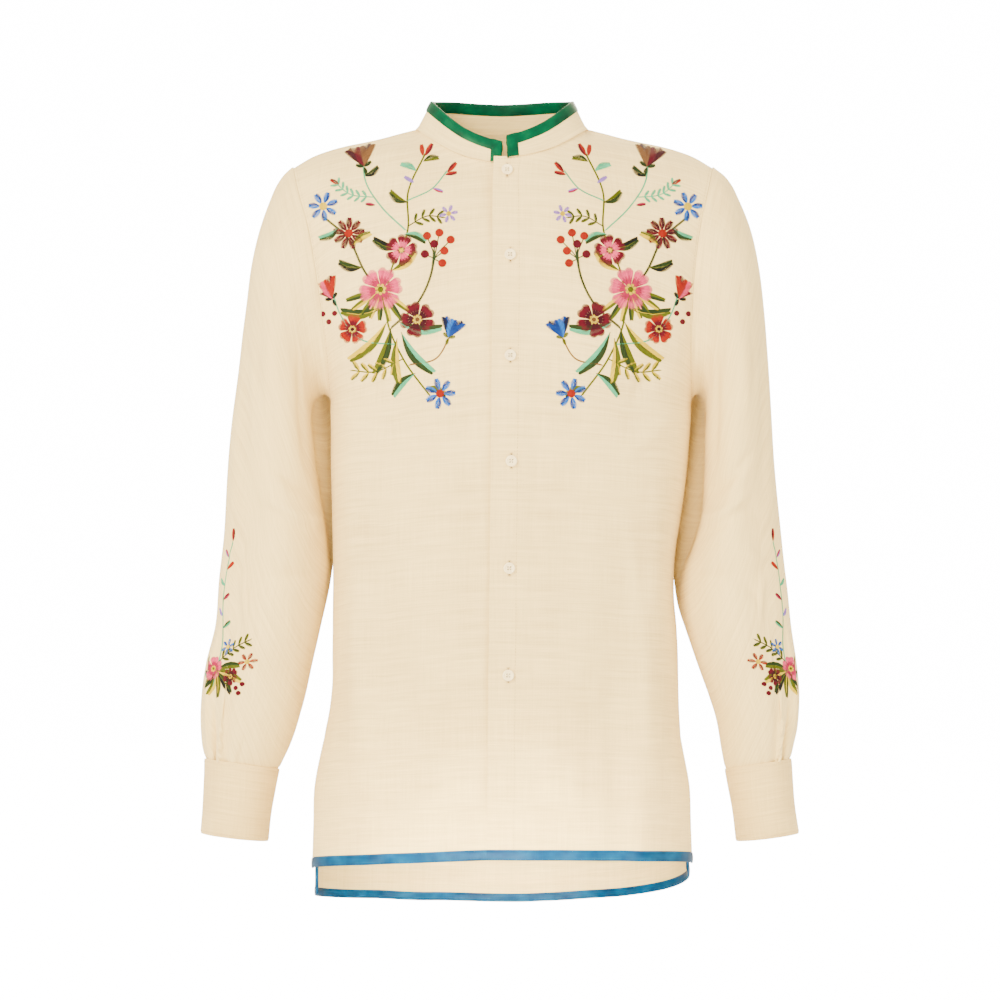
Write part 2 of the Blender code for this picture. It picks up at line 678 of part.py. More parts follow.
def collar(necklines):
    """Outer points and normals of the collar: rows up, columns from the right end round to the left."""
    base = np.vstack([
        necklines["front_right"][1:-1],
        (necklines["front_right"][-1:] + necklines["back"][:1]) / 2,
        necklines["back"][1:-1],
        (necklines["front_left"][-1:] + necklines["back"][-1:]) / 2,
        necklines["front_left"][-2:0:-1],
    ])
    radial = unit(base * np.array([1, 1, 0]))
    angle = np.degrees(np.arctan2(np.abs(base[:, 0]), -base[:, 1]))
    height = smooth(angle, COLLAR["angle"], COLLAR["height"])
    lean = smooth(angle, COLLAR["angle"], COLLAR["lean"])
    rise = unit(np.array([0, 0, 1]) - radial * lean[:, None])
    rows = [base + rise * SEAM_GAP]
    up = height[:, None] * np.array([0, 0, 1]) - radial * (height * lean)[:, None]
    for share in (1 / 3, 2 / 3, 1):
        rows.append(base + up * share)
    rows[2] = rows[3] - rise * BINDING_WIDTH
    rows[1] = (rows[0] + rows[2]) / 2
    points = np.array(rows)
    for end, step in ((0, 1), (-1, -1)):
        across = unit(points[:, end + step] - points[:, end])
        points[:, end + step] = points[:, end] + across * BINDING_WIDTH
    normals = grid_normals(points, 1)
    return points, normals


def new_piece(name, vertices, faces, material):
    """A named object from points in millimetres; doubled points are merged, the faces made to point out."""
    mesh = bpy.data.meshes.new(name)
    mesh.from_pydata([Vector(point) * MM for point in vertices], [], faces)
    work = bmesh.new()
    work.from_mesh(mesh)
    bmesh.ops.remove_doubles(work, verts=work.verts, dist=MERGE)
    bmesh.ops.recalc_face_normals(work, faces=work.faces)
    work.to_mesh(mesh)
    work.free()
    mesh.shade_smooth()
    mesh.set_sharp_from_angle(angle=math.radians(SHARP_ANGLE))
    mesh.materials.append(material)
    piece = bpy.data.objects.new(name, mesh)
    bpy.context.scene.collection.objects.link(piece)
    return piece


def grid_faces(rows, columns, around, start):
    """Two triangles for each cell of a grid, cut along the same diagonal everywhere."""
    faces = []
    for row in range(rows - 1):
        for column in range(columns if around else columns - 1):
            beside = (column + 1) % columns
            a = start + row * columns + column
            b = start + row * columns + beside
            c = start + (row + 1) * columns + beside
            d = start + (row + 1) * columns + column
            faces.append((a, b, c))
            faces.append((a, c, d))
    return faces


def wall(name, points, normals, thickness, material, around=False, lift=0.0):
    """A cloth wall: an outer grid, the same grid moved in by the thickness, and the edges between them."""
    rows, columns = points.shape[:2]
    outer = points + normals * lift
    inner = outer - normals * thickness
    vertices = np.vstack([outer.reshape(-1, 3), inner.reshape(-1, 3)])
    count = rows * columns
    faces = grid_faces(rows, columns, around, 0)
    faces += [tuple(reversed(face)) for face in grid_faces(rows, columns, around, count)]
    edges = []
    for column in range(columns if around else columns - 1):
        beside = (column + 1) % columns
        edges.append((column, beside))
        edges.append(((rows - 1) * columns + column, (rows - 1) * columns + beside))
    if not around:
        for row in range(rows - 1):
            for column in (0, columns - 1):
                edges.append((row * columns + column, (row + 1) * columns + column))
    for a, b in edges:
        faces.append((a, b, b + count))
        faces.append((a, b + count, a + count))
    return new_piece(name, vertices, faces, material)


def folded_binding(name, points, normals, thickness, path, material, shorter=0.0):
    """A satin strip folded over the edge of a wall.

    The path lists, for each place along the edge, the grid place on the edge and the one a strip's width in
    from it. The strip keeps the seam gap to the wall inside and outside, and to its edge, and can end short.
    """
    vertices = []
    last = len(path) - 1
    for number, (edge, within) in enumerate(path):
        edge_point, within_point = points[edge], points[within]
        edge_normal, within_normal = normals[edge], normals[within]
        out = unit(edge_point - within_point)
        out = out * (MITRE if edge[0] != within[0] and edge[1] != within[1] else 1.0)
        near, far = SEAM_GAP, SEAM_GAP + SATIN
        if number in (0, last):
            inward = unit(points[path[1][0] if number == 0 else path[last - 1][0]] - edge_point) * shorter
            edge_point, within_point = edge_point + inward, within_point + inward
        vertices += [
            within_point + within_normal * far,
            edge_point + edge_normal * far + out * far,
            edge_point - edge_normal * (thickness + far) + out * far,
            within_point - within_normal * (thickness + far),
            within_point - within_normal * (thickness + near),
            edge_point - edge_normal * (thickness + near) + out * near,
            edge_point + edge_normal * near + out * near,
            within_point + within_normal * near,
        ]
    faces = []
    for place in range(len(path) - 1):
        (edge, within), (next_edge, next_within) = path[place], path[place + 1]
        step = (next_within[0] - edge[0], next_within[1] - edge[1])
        edge_to_within = step in ((1, 1), (-1, -1))
        for corner in range(8):
            after = (corner + 1) % 8
            a, b = place * 8 + corner, place * 8 + after
            c, d = a + 8, b + 8
            starts_within = corner in (0, 3, 4, 7)
            if starts_within != edge_to_within:
                faces += [(a, b, d), (a, d, c)]
            else:
                faces += [(a, b, c), (b, d, c)]
    for first in (0, (len(path) - 1) * 8):
        for corners in ((0, 1, 6, 7), (1, 2, 5, 6), (2, 3, 4, 5)):
            faces.append(tuple(first + corner for corner in corners))
    return new_piece(name, vertices, faces, material)


def button(name, place, normal, material):
    """A dished button turned about its axis, standing on the cloth."""
    mesh = bpy.data.meshes.new(name)
    work = bmesh.new()
    points = [work.verts.new((radius * MM, 0, height * MM)) for radius, height in BUTTON_PROFILE]
    line = [work.edges.new(pair) for pair in zip(points[:-1], points[1:])]
    bmesh.ops.spin(work, geom=points + line, cent=(0, 0, 0), axis=(0, 0, 1), angle=2 * math.pi,
                   steps=BUTTON_STEPS, use_merge=True, use_duplicate=False)
    bmesh.ops.remove_doubles(work, verts=work.verts, dist=MERGE)
    bmesh.ops.recalc_face_normals(work, faces=work.faces)
    turn = Vector(normal).to_track_quat("Z", "Y").to_matrix().to_4x4()
    at = Vector(place + normal * BUTTON_CLEARANCE) * MM
    bmesh.ops.transform(work, matrix=Matrix.Translation(at) @ turn, verts=work.verts)
    work.to_mesh(mesh)
    work.free()
    mesh.shade_smooth()
    mesh.set_sharp_from_angle(angle=math.radians(SHARP_ANGLE))
    mesh.materials.append(material)
    piece = bpy.data.objects.new(name, mesh)
    bpy.context.scene.collection.objects.link(piece)
    return piece


def new_material(name, colour, roughness):
    """A plain material."""
    material = bpy.data.materials.new(name)
    material.use_nodes = True
    shader = material.node_tree.nodes["Principled BSDF"]
    shader.inputs["Base Color"].default_value = (*colour, 1)
    shader.inputs["Roughness"].default_value = roughness
    shader.inputs["Metallic"].default_value = 0
    return material


def surface_tree(points):
    """The outer surface of a piece, for finding the point on it along a line."""
    rows, columns = points.shape[:2]
    return BVHTree.FromPolygons(points.reshape(-1, 3).tolist(), grid_faces(rows, columns, False, 0))


def add_fronts(linen):
    """Both fronts; returns their points and normals by name."""
    panels = {}
    for side in (RIGHT, LEFT):
        name = "front_" + SIDE_NAMES[side]
        panels[name] = front_panel(side)
        wall(name, *panels[name], CLOTH, linen)
    return panels


def add_sleeves(panels, linen):
    """The sleeves, which start at the armhole's points, and the strips over their slits."""
    for side in (RIGHT, LEFT):
        name = SIDE_NAMES[side]
        front_points, front_normals = panels["front_" + name]
        back_points, back_normals = panels["back"]
        edge, beside = (0, 1) if side == RIGHT else (-1, -2)
        first = -ROWS_ARMHOLE - 1
        halves = []
        for points, normals, at, near in ((front_points, front_normals, -1, -2),
                                          (back_points, back_normals, edge, beside)):
            seam, beside_seam = points[first:, at], points[first:, near]
            halves.append([seam, normals[first:, at], seam - beside_seam])
        front, back = halves
        ring, ring_normals, outward = (
            np.vstack([front[part][::-1], back[part][1:-1]]) for part in range(3)
        )
        for place in (0, ROWS_ARMHOLE):
            ring[place, 1] = 0
            ring_normals[place] = no_lean(ring_normals[place], 1)
            outward[place, 1] = 0
        outward = outward - (outward * ring_normals).sum(axis=1, keepdims=True) * ring_normals
        along = unit(np.roll(ring, -1, axis=0) - np.roll(ring, 1, axis=0))
        outward = unit(outward - (outward * along).sum(axis=1, keepdims=True) * along)
        points, normals = sleeve(side, ring, ring_normals, outward)
        wall("sleeve_" + name, points, normals, CLOTH, linen, around=True)
        first_column, last_column = PLACKET_COLUMNS
        part = (slice(PLACKET_FIRST_SECTION, None), slice(first_column, last_column + 1))
        wall("sleeve_placket_" + name, points[part], normals[part], PLACKET_CLOTH, linen,
             lift=SEAM_GAP + PLACKET_CLOTH)


def add_cuffs(linen, shell):
    """The cuffs, and the button on each cuff's lap."""
    for side in (RIGHT, LEFT):
        name = SIDE_NAMES[side]
        points, normals = cuff(side)
        wall("cuff_" + name, points, normals, CUFF_CLOTH, linen)
        column = (CUFF_BUTTON_ANGLE - CUFF_START_ANGLE) / CUFF_TURN * (CUFF_COLUMNS - 1)
        before = int(column)
        share = column - before
        middle = points.shape[0] // 2
        place = points[middle - 1:middle + 1, before:before + 2].mean(axis=0)
        across = place[1] - place[0]
        normal = normals[middle - 1:middle + 1, before:before + 2].mean(axis=(0, 1))
        button("cuff_button_" + name, place[0] + across * share, unit(normal), shell)


def add_collar(panels, linen, green):
    """The collar, and the satin binding over its top edge and ends."""
    back_neck = slice(COLUMNS_SHOULDER, COLUMNS_SHOULDER + 2 * COLUMNS_NECK + 1)
    necklines = {
        "front_right": panels["front_right"][0][-1, :COLUMNS_NECK + 1],
        "front_left": panels["front_left"][0][-1, :COLUMNS_NECK + 1],
        "back": panels["back"][0][-1, back_neck],
    }
    points, normals = collar(necklines)
    wall("collar", points, normals, COLLAR_CLOTH, linen)
    top, last = points.shape[0] - 1, points.shape[1] - 1
    path = [((row, 0), (min(row, top - 1), 1)) for row in range(top + 1)]
    path += [((top, column), (top - 1, min(column, last - 1))) for column in range(1, last + 1)]
    path += [((row, last), (row, last - 1)) for row in range(top - 1, -1, -1)]
    folded_binding("collar_binding", points, normals, COLLAR_CLOTH, path, green,
                   shorter=COLLAR_BINDING_SHORTER)


def add_hem_bindings(panels, blue):
    """The satin bindings over the hems of the fronts, and over the hem and the vent edges of the back."""
    for name in ("front_right", "front_left"):
        points, normals = panels[name]
        path = [((0, column), (1, column)) for column in range(points.shape[1])]
        folded_binding("hem_binding_" + name, points, normals, CLOTH, path, blue)
    points, normals = panels["back"]
    last = points.shape[1] - 1
    top = vent_rows() - 1
    path = [((row, 0), (row, 1)) for row in range(top, 0, -1)]
    path += [((0, column), (1, min(max(column, 1), last - 1))) for column in range(last + 1)]
    path += [((row, last), (row, last - 1)) for row in range(1, top + 1)]
    folded_binding("hem_binding_back", points, normals, CLOTH, path, blue)


def add_buttons(panels, shell):
    """The buttons on the left front."""
    tree = surface_tree(panels["front_left"][0])
    for number, (x, height) in enumerate(zip(BUTTONS["x"], BUTTONS["height"]), start=1):
        place, normal = tree.ray_cast(Vector((x, WELL_IN_FRONT, height)), Vector((0, 1, 0)))[:2]
        normal = normal if normal.y < 0 else -normal
        button("button_%d" % number, np.array(place), np.array(normal), shell)


def build():
    """The whole shirt."""
    for item in list(bpy.data.objects):
        bpy.data.objects.remove(item, do_unlink=True)
    linen = new_material("linen", (0.78, 0.70, 0.56), 0.85)
    green = new_material("green_satin", (0.0, 0.26, 0.10), 0.35)
    blue = new_material("blue_satin", (0.0, 0.30, 0.58), 0.35)
    shell = new_material("ivory_shell", (0.86, 0.80, 0.68), 0.3)
    panels = add_fronts(linen)
    panels["back"] = back_panel()
    wall("back", *panels["back"], CLOTH, linen)
    add_sleeves(panels, linen)
    add_cuffs(linen, shell)
    add_collar(panels, linen, green)
    add_hem_bindings(panels, blue)
    add_buttons(panels, shell)


build()
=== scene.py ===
"""The looks of a long-sleeved linen shirt with a band collar, satin bindings and embroidery.

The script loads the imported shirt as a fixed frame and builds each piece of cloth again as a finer,
thinner shell on the same form. Tables and lengths are in millimetres, and become metres when a piece is
made. Right and left are the wearer's. A side is -1 for the right and +1 for the left; a face is -1 for the
front and +1 for the back.
"""

import math

import bmesh
import bpy
import numpy as np
from mathutils import Matrix, Vector
from mathutils.bvhtree import BVHTree


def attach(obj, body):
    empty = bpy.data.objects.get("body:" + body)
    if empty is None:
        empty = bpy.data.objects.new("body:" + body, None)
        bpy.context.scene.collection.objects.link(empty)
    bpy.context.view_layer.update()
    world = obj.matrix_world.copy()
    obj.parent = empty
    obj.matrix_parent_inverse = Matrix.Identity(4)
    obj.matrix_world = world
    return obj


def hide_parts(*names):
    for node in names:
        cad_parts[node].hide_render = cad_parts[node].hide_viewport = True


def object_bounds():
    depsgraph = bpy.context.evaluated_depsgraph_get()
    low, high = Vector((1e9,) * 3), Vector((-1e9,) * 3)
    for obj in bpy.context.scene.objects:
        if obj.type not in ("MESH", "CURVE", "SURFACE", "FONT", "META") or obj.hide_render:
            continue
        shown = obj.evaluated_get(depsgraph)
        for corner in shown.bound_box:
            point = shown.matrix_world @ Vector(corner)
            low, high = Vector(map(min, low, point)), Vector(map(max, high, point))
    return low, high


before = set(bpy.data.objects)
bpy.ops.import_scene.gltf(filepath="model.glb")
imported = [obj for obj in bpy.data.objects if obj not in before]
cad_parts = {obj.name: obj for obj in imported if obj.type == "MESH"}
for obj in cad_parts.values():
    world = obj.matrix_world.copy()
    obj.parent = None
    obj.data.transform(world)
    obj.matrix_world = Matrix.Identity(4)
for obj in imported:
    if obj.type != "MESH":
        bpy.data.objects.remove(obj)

cad_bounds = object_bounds()
MM = 0.001

# Camera: a level view from the front, a little over three and a half metres away, so that a square metre
# at the middle of the shirt fills the picture
CAMERA_DISTANCE = 3.75
CAMERA_PLACE = (-0.002, -CAMERA_DISTANCE, -0.363)
PICTURE_WIDTH = 1.0
SENSOR_WIDTH = 36.0

camera_data = bpy.data.cameras.new("camera")
camera_data.sensor_width = SENSOR_WIDTH
camera_data.lens = SENSOR_WIDTH * CAMERA_DISTANCE / PICTURE_WIDTH
camera = bpy.data.objects.new("camera", camera_data)
camera.location = CAMERA_PLACE
camera.rotation_euler = (math.radians(90), 0, 0)
bpy.context.scene.collection.objects.link(camera)
bpy.context.scene.camera = camera

# Floor and light: a pale studio floor well below the hems, a white surround and large soft lamps. The
# camera sees the surround and the far floor as the same plain white. Each lamp has its place, size in
# metres, power in watts and spread in degrees, and looks at the middle of the shirt unless it has an aim.
FLOOR_DROP = 0.12
FLOOR_SIZE = 9.0
FLOOR_GLOW = 21.0
FLOOR_GLOW_SHARE = 0.75
SURROUND_SEEN = 16.0
SURROUND_LIGHT = 2.35
LIGHT_COLOUR = (1.0, 0.87, 0.645)
WHITE = (1, 1, 1)
FLOOR_SHADER = {"Base Color": (0.9, 0.9, 0.9, 1), "Roughness": 0.9}
SHIRT_MIDDLE = (0, 0, -0.35)
LAMPS = (
    ("key_lamp", (-1.7, -2.5, 1.1), 0.9, 205, 180),
    ("fill_lamp", (2.4, -2.0, -0.1), 1.4, 56, 180),
    ("low_lamp", (-0.3, -2.2, -0.75), 0.8, 45, 180),
    ("hem_lamp", (0.0, -1.3, -0.86), 0.25, 1.5, 16),
    ("back_lamp", (0.6, 2.2, 1.2), 1.6, 90, 180),
)
LAMP_AIMS = {"hem_lamp": (0, 0.1, -0.79)}


def link(tree, output, target):
    """Join two sockets."""
    tree.links.new(output, target)


def new_material(name, settings):
    """A material with its main shader's settings: the material, its node tree and that shader."""
    material = bpy.data.materials.new(name)
    material.use_nodes = True
    shader = material.node_tree.nodes["Principled BSDF"]
    for setting, value in settings.items():
        shader.inputs[setting].default_value = value
    return material, material.node_tree, shader


def calculate(tree, operation, *terms, clamp=False):
    """A math node on terms that are numbers or other nodes' outputs."""
    node = tree.nodes.new("ShaderNodeMath")
    node.operation = operation
    node.use_clamp = clamp
    for place, term in enumerate(terms):
        if isinstance(term, float):
            node.inputs[place].default_value = term
        else:
            link(tree, term, node.inputs[place])
    return node.outputs[0]


def between_tones(tree, share, first, second):
    """A colour between two tones."""
    tone = tree.nodes.new("ShaderNodeMix")
    tone.data_type = "RGBA"
    tone.inputs["A"].default_value = (*first, 1)
    tone.inputs["B"].default_value = (*second, 1)
    link(tree, share, tone.inputs["Factor"])
    return tone.outputs["Result"]


bpy.ops.object.select_all(action="DESELECT")
bpy.ops.mesh.primitive_plane_add(size=FLOOR_SIZE, location=(0, 0, cad_bounds[0][2] - FLOOR_DROP))
floor = bpy.context.object
floor.name = "floor"
floor_paint, tree, shader = new_material("floor_paint", FLOOR_SHADER)
glow = tree.nodes.new("ShaderNodeEmission")
glow.inputs["Strength"].default_value = FLOOR_GLOW
seen = tree.nodes.new("ShaderNodeLightPath").outputs["Is Camera Ray"]
both = tree.nodes.new("ShaderNodeMixShader")
link(tree, calculate(tree, "MULTIPLY", seen, FLOOR_GLOW_SHARE), both.inputs[0])
link(tree, shader.outputs[0], both.inputs[1])
link(tree, glow.outputs[0], both.inputs[2])
link(tree, both.outputs[0], tree.nodes["Material Output"].inputs["Surface"])
floor.data.materials.append(floor_paint)

world = bpy.data.worlds.new("surround")
world.use_nodes = True
tree = world.node_tree
background = tree.nodes["Background"]
seen = tree.nodes.new("ShaderNodeLightPath").outputs["Is Camera Ray"]
strength = tree.nodes.new("ShaderNodeMapRange")
strength.inputs["To Min"].default_value = SURROUND_LIGHT
strength.inputs["To Max"].default_value = SURROUND_SEEN
link(tree, seen, strength.inputs["Value"])
link(tree, strength.outputs[0], background.inputs["Strength"])
link(tree, between_tones(tree, seen, LIGHT_COLOUR, WHITE), background.inputs["Color"])
bpy.context.scene.world = world

for lamp_name, place, size, power, spread in LAMPS:
    lamp_data = bpy.data.lights.new(lamp_name, "AREA")
    lamp_data.shape = "SQUARE"
    lamp_data.size = size
    lamp_data.energy = power
    lamp_data.spread = math.radians(spread)
    lamp_data.color = LIGHT_COLOUR
    lamp = bpy.data.objects.new(lamp_name, lamp_data)
    lamp.location = place
    aim = Vector(LAMP_AIMS.get(lamp_name, SHIRT_MIDDLE)) - lamp.location
    lamp.rotation_euler = aim.to_track_quat("-Z", "Y").to_euler()
    bpy.context.scene.collection.objects.link(lamp)

# Fronts: two panels of plain-woven linen. The left one lies over the right one and is buttoned to it; both
# curve over the shoulder to a seam and are sewn to the back at the sides.
RIGHT, LEFT = -1, 1
FRONT, BACK = -1, 1
SIDE_NAMES = {RIGHT: "right", LEFT: "left"}
FACE_NAMES = {FRONT: "front", BACK: "back"}
SEAM_GAP = 0.3

# Where the collar's ends stand, from the middle of the body towards the wearer's left
COLLAR_ENDS = {RIGHT: -1.5, LEFT: 6.5}


def table(columns, rows):
    """A table as one array of numbers for each named column."""
    return dict(zip(columns.split(), np.array(rows, dtype=float).T))


# Half widths of the body form, from the hem up to the armpit
WIDTHS = table("height right left", (
    (-790, 190.5, 190.5),
    (-726, 189.5, 190),
    (-680, 188, 188.5),
    (-640, 186.5, 186.5),
    (-600, 177.5, 178.5),
    (-560, 170.5, 176.5),
    (-500, 169, 175),
    (-455, 168.5, 171.5),
    (-415, 169, 173),
    (-370, 170, 180),
    (-330, 171, 185),
    (-290, 171, 188),
    (-265, 171, 189),
))

# Depths of the body form in front of and behind its middle
DEPTHS = table("height front back", (
    (-790, 124, 122),
    (-700, 122, 121),
    (-600, 117, 118),
    (-500, 114, 116),
    (-440, 115, 115),
    (-370, 119, 116),
    (-300, 124, 119),
    (-240, 125, 121),
    (-190, 121, 119),
    (-150, 115, 115),
    (-110, 106, 108),
))

# The body form's cross-section is an ellipse with fuller corners
FULLNESS = 2.3

# Armholes: upright ovals, whose distance from the middle changes with the height
ARMPIT_HEIGHT = -265
SHOULDER_TIP_HEIGHT = -31
ARMHOLE_MIDDLE = (ARMPIT_HEIGHT + SHOULDER_TIP_HEIGHT) / 2
ARMHOLE_REACH = (SHOULDER_TIP_HEIGHT - ARMPIT_HEIGHT) / 2
ARMHOLE_DEPTHS = {FRONT: 62, BACK: 66}
ARMHOLES = table("height right left", (
    (-265, 171, 189),
    (-225, 173.5, 187.5),
    (-183, 177, 187),
    (-134, 184, 190),
    (-90, 192, 196),
    (-56, 202, 204),
    (-31, 208, 210),
))

# Neckline: an oval around the neck, low in front
NECK_WIDTH = 83
NECK_DEPTHS = {FRONT: 70, BACK: 62}
NECK_SIDE_HEIGHT = 8
NECK_FRONT_HEIGHTS = {RIGHT: -31, LEFT: -26}
NECK_BACK_HEIGHT = 9
SHOULDER_SEAM = table("share drop", (
    (0, 0),
    (0.1, 0.077),
    (0.34, 0.28),
    (0.64, 0.487),
    (0.84, 0.7),
    (1, 1),
))

# Hems: heights at the middle and at each side edge, and how late the hem turns from the one to the other
FRONT_HEM = {"middle": -710, "right": -730, "left": -725, "right_bend": 1.3, "left_bend": 1.8}
BACK_HEM = {"middle": -776.5, "right": -756, "left": -731, "right_bend": 1.6, "left_bend": 2}
HEM_BINDING_WIDTHS = {FRONT: 9, BACK: 7.5}
BINDING_WIDTH = 10
VENT_TOP = -600
VENT_START = -612

# The back's vent edges stand behind the fronts' and are tucked in behind them, more so at the hem
VENT_SPREAD = 2.2
VENT_TUCK = 2.5
VENT_TUCK_AT_HEM = 5

# Rows of points up a panel: below the vents, then to the armpits, around the armholes, up to the shoulders
FRONT_VENT_SHARES = (0.32, 0.64)
ROWS_SIDE_SEAM = 12
ROWS_ARMHOLE = 12
ROWS_FORM = 7
ARMPIT_ROW_MIDDLE = -330
FORM_TOP_MIDDLE = -150

# How the lengthwise lines reach the top: climb at the middle of the neckline, how much flatter they are at
# its side and how far they turn towards the neck between, in degrees; then the rise at the shoulder's tip.
# The rows there are smoothed more the higher they are, and are pulled to the armhole at their outer end.
CLIMB_AT_MIDDLE = 62
FLATTER_AT_SIDE = 44
TURN_TO_NECK = 36
RISE_AT_TIP = 0.05
SMOOTHING_PER_ROW = 3
ARMHOLE_PULL = 4

# Columns of points across a panel: along the neckline and along the shoulder seam
COLUMNS_NECK = 7
COLUMNS_SHOULDER = 7

# Front opening: the left front lies over the right front and is buttoned to it
OVER_EDGE_TOP = -8
OVER_EDGE_HEM = -15
UNDER_EDGE = 25
LAP = 2.2
LAP_AT_HEM = 4.6
LAP_HEM_ZONE = (40, 12)
LAP_AT_NECK = 3.8
LAP_NECK_ZONE = (150, 40)
LAP_FULL_TO = 28
LAP_GONE_AT = 64

# Soft folds of the body: from a top point to a bottom point as seen from its face, half width, and height
# of the ridge (below zero for a trough). A fold that runs out through the hem has its bottom point below it.
BODY_FOLDS = table("face top_x top_z bottom_x bottom_z half_width height", (
    (FRONT, -150, -250, -122, -860, 15, 5),
    (FRONT, -126, -330, -98, -860, 14, -4),
    (FRONT, -70, -430, -92, -860, 18, 3),
    (FRONT, 150, -280, 130, -860, 16, 5),
    (FRONT, 118, -340, 110, -860, 15, -4),
    (FRONT, 72, -450, 90, -860, 18, 3),
    (FRONT, -165, -130, -112, -330, 13, -3.5),
    (FRONT, 168, -130, 116, -340, 13, -3.5),
    (BACK, -140, -240, -124, -900, 16, 5),
    (BACK, -100, -330, -90, -900, 16, -4),
    (BACK, -40, -200, -54, -900, 18, 3),
    (BACK, 30, -260, 18, -900, 18, -3),
    (BACK, 78, -300, 90, -900, 17, 4),
    (BACK, 120, -260, 132, -900, 15, -4),
))
FOLD_FADE = 110
SEAM_FADE_ROWS = 4
SEAM_FADE_COLUMNS = 3


def curve_between(t, start, start_slope, end, end_slope, step=1):
    """The place at a share t of a smooth curve from a start to an end, given its slopes there."""
    return (
        (2 * t**3 - 3 * t**2 + 1) * start
        + (t**3 - 2 * t**2 + t) * step * start_slope
        + (3 * t**2 - 2 * t**3) * end
        + (t**3 - t**2) * step * end_slope
    )


def smooth(at, knots, values):
    """The value at a place between a table's rows, on a smooth curve through the rows."""
    slopes = np.gradient(values, knots)
    at = np.clip(at, knots[0], knots[-1])
    row = np.clip(np.searchsorted(knots, at) - 1, 0, len(knots) - 2)
    step = knots[row + 1] - knots[row]
    t = (at - knots[row]) / step
    return curve_between(t, values[row], slopes[row], values[row + 1], slopes[row + 1], step)


def ease(value, start, end):
    """A soft step from 0 at the start to 1 at the end."""
    t = np.clip((value - start) / (end - start), 0, 1)
    return t * t * (3 - 2 * t)


def unit(vectors):
    """The same directions with a length of one."""
    return vectors / np.linalg.norm(vectors, axis=-1, keepdims=True)


def grid_normals(points, outward, around=False):
    """Unit normals of a grid of points, rows by columns; `around` joins its last column to its first."""
    along = np.gradient(points, axis=0)
    if around:
        across = (np.roll(points, -1, axis=1) - np.roll(points, 1, axis=1)) / 2
    else:
        across = np.gradient(points, axis=1)
    return unit(outward * np.cross(across, along))


def body_depth(face, height):
    """How far the body form reaches to the front or the back at a height."""
    return smooth(height, DEPTHS["height"], DEPTHS[FACE_NAMES[face]])


def armhole_depth(face, height):
    """How far the armhole reaches to the front or the back at a height."""
    from_middle = (height - ARMHOLE_MIDDLE) / ARMHOLE_REACH
    return ARMHOLE_DEPTHS[face] * np.sqrt(np.clip(1 - from_middle**2, 0, 1))


def armhole_width(side, height):
    """The armhole's distance from the middle of the body at a height."""
    return smooth(height, ARMHOLES["height"], ARMHOLES[SIDE_NAMES[side]])


def body_width(side, face, height):
    """Half width of the body form: from the table, and above the armpit wide enough for the armhole."""
    below = smooth(height, WIDTHS["height"], WIDTHS[SIDE_NAMES[side]])
    share = armhole_depth(face, height) / body_depth(face, height)
    above = armhole_width(side, height) / (1 - share**FULLNESS) ** (1 / FULLNESS)
    return np.where(height < ARMPIT_HEIGHT, below, above)


def body_point(side, face, angle, height):
    """Points of the body form, at angles from the middle line towards the side."""
    sine, cosine = np.sin(angle), np.cos(angle)
    reach = (np.abs(sine) ** FULLNESS + np.abs(cosine) ** FULLNESS) ** (1 / FULLNESS)
    x = side * body_width(side, face, height) * sine / reach
    y = face * body_depth(face, height) * cosine / reach
    return np.stack([x, y, height + 0 * x], axis=-1)


def angle_at_width(share):
    """The angle at which the body form reaches a share of its half width."""
    part = np.abs(share) ** FULLNESS
    return np.sign(share) * np.arctan((part / (1 - part)) ** (1 / FULLNESS))


def body_row(side, face, first_angle, last_angle, middle_height, edge_height, shares):
    """One row of points on the body form, which climbs or falls from the middle line to the edge."""
    angle = first_angle + (last_angle - first_angle) * shares
    hem = FRONT_HEM if face == FRONT else BACK_HEM
    climb = np.clip(angle / last_angle, 0, 1) ** hem[SIDE_NAMES[side] + "_bend"]
    return body_point(side, face, angle, middle_height + (edge_height - middle_height) * climb)


def row_heights(face, side):
    """Heights of a panel's rows at its middle line and its edge, up to the armpit, from the hem."""
    hem = FRONT_HEM if face == FRONT else BACK_HEM
    hem_edge = hem[SIDE_NAMES[side]]
    strip = HEM_BINDING_WIDTHS[face]
    middles = [hem["middle"], hem["middle"] + strip]
    edges = [hem_edge, hem_edge + strip]
    for share in FRONT_VENT_SHARES:
        middles.append(middles[1] + (VENT_START - middles[1]) * share)
        edges.append(edges[1] + (VENT_START - edges[1]) * share)
    middles.append(VENT_START)
    edges.append(VENT_START)
    middles.extend(np.linspace(VENT_TOP, ARMPIT_ROW_MIDDLE, ROWS_SIDE_SEAM + 1))
    edges.extend(np.linspace(VENT_TOP, ARMPIT_HEIGHT, ROWS_SIDE_SEAM + 1))
    return middles, edges


def armhole_points(side, face):
    """Points of one half of the armhole, from the armpit to the shoulder tip."""
    turns = np.linspace(0, math.pi, ROWS_ARMHOLE + 1)
    height = ARMHOLE_MIDDLE - ARMHOLE_REACH * np.cos(turns)
    depth = face * ARMHOLE_DEPTHS[face] * np.sin(turns)
    return np.stack([side * armhole_width(side, height), depth, height], axis=-1)


def neck_points(side, face, angles):
    """Points of the neckline, at angles from the middle of its face towards the side."""
    middle_height = NECK_FRONT_HEIGHTS[side] if face == FRONT else NECK_BACK_HEIGHT
    x = side * NECK_WIDTH * np.sin(angles)
    y = face * NECK_DEPTHS[face] * np.cos(angles)
    z = NECK_SIDE_HEIGHT + (middle_height - NECK_SIDE_HEIGHT) * np.cos(angles) ** 2
    return np.stack([x, y, z], axis=-1)


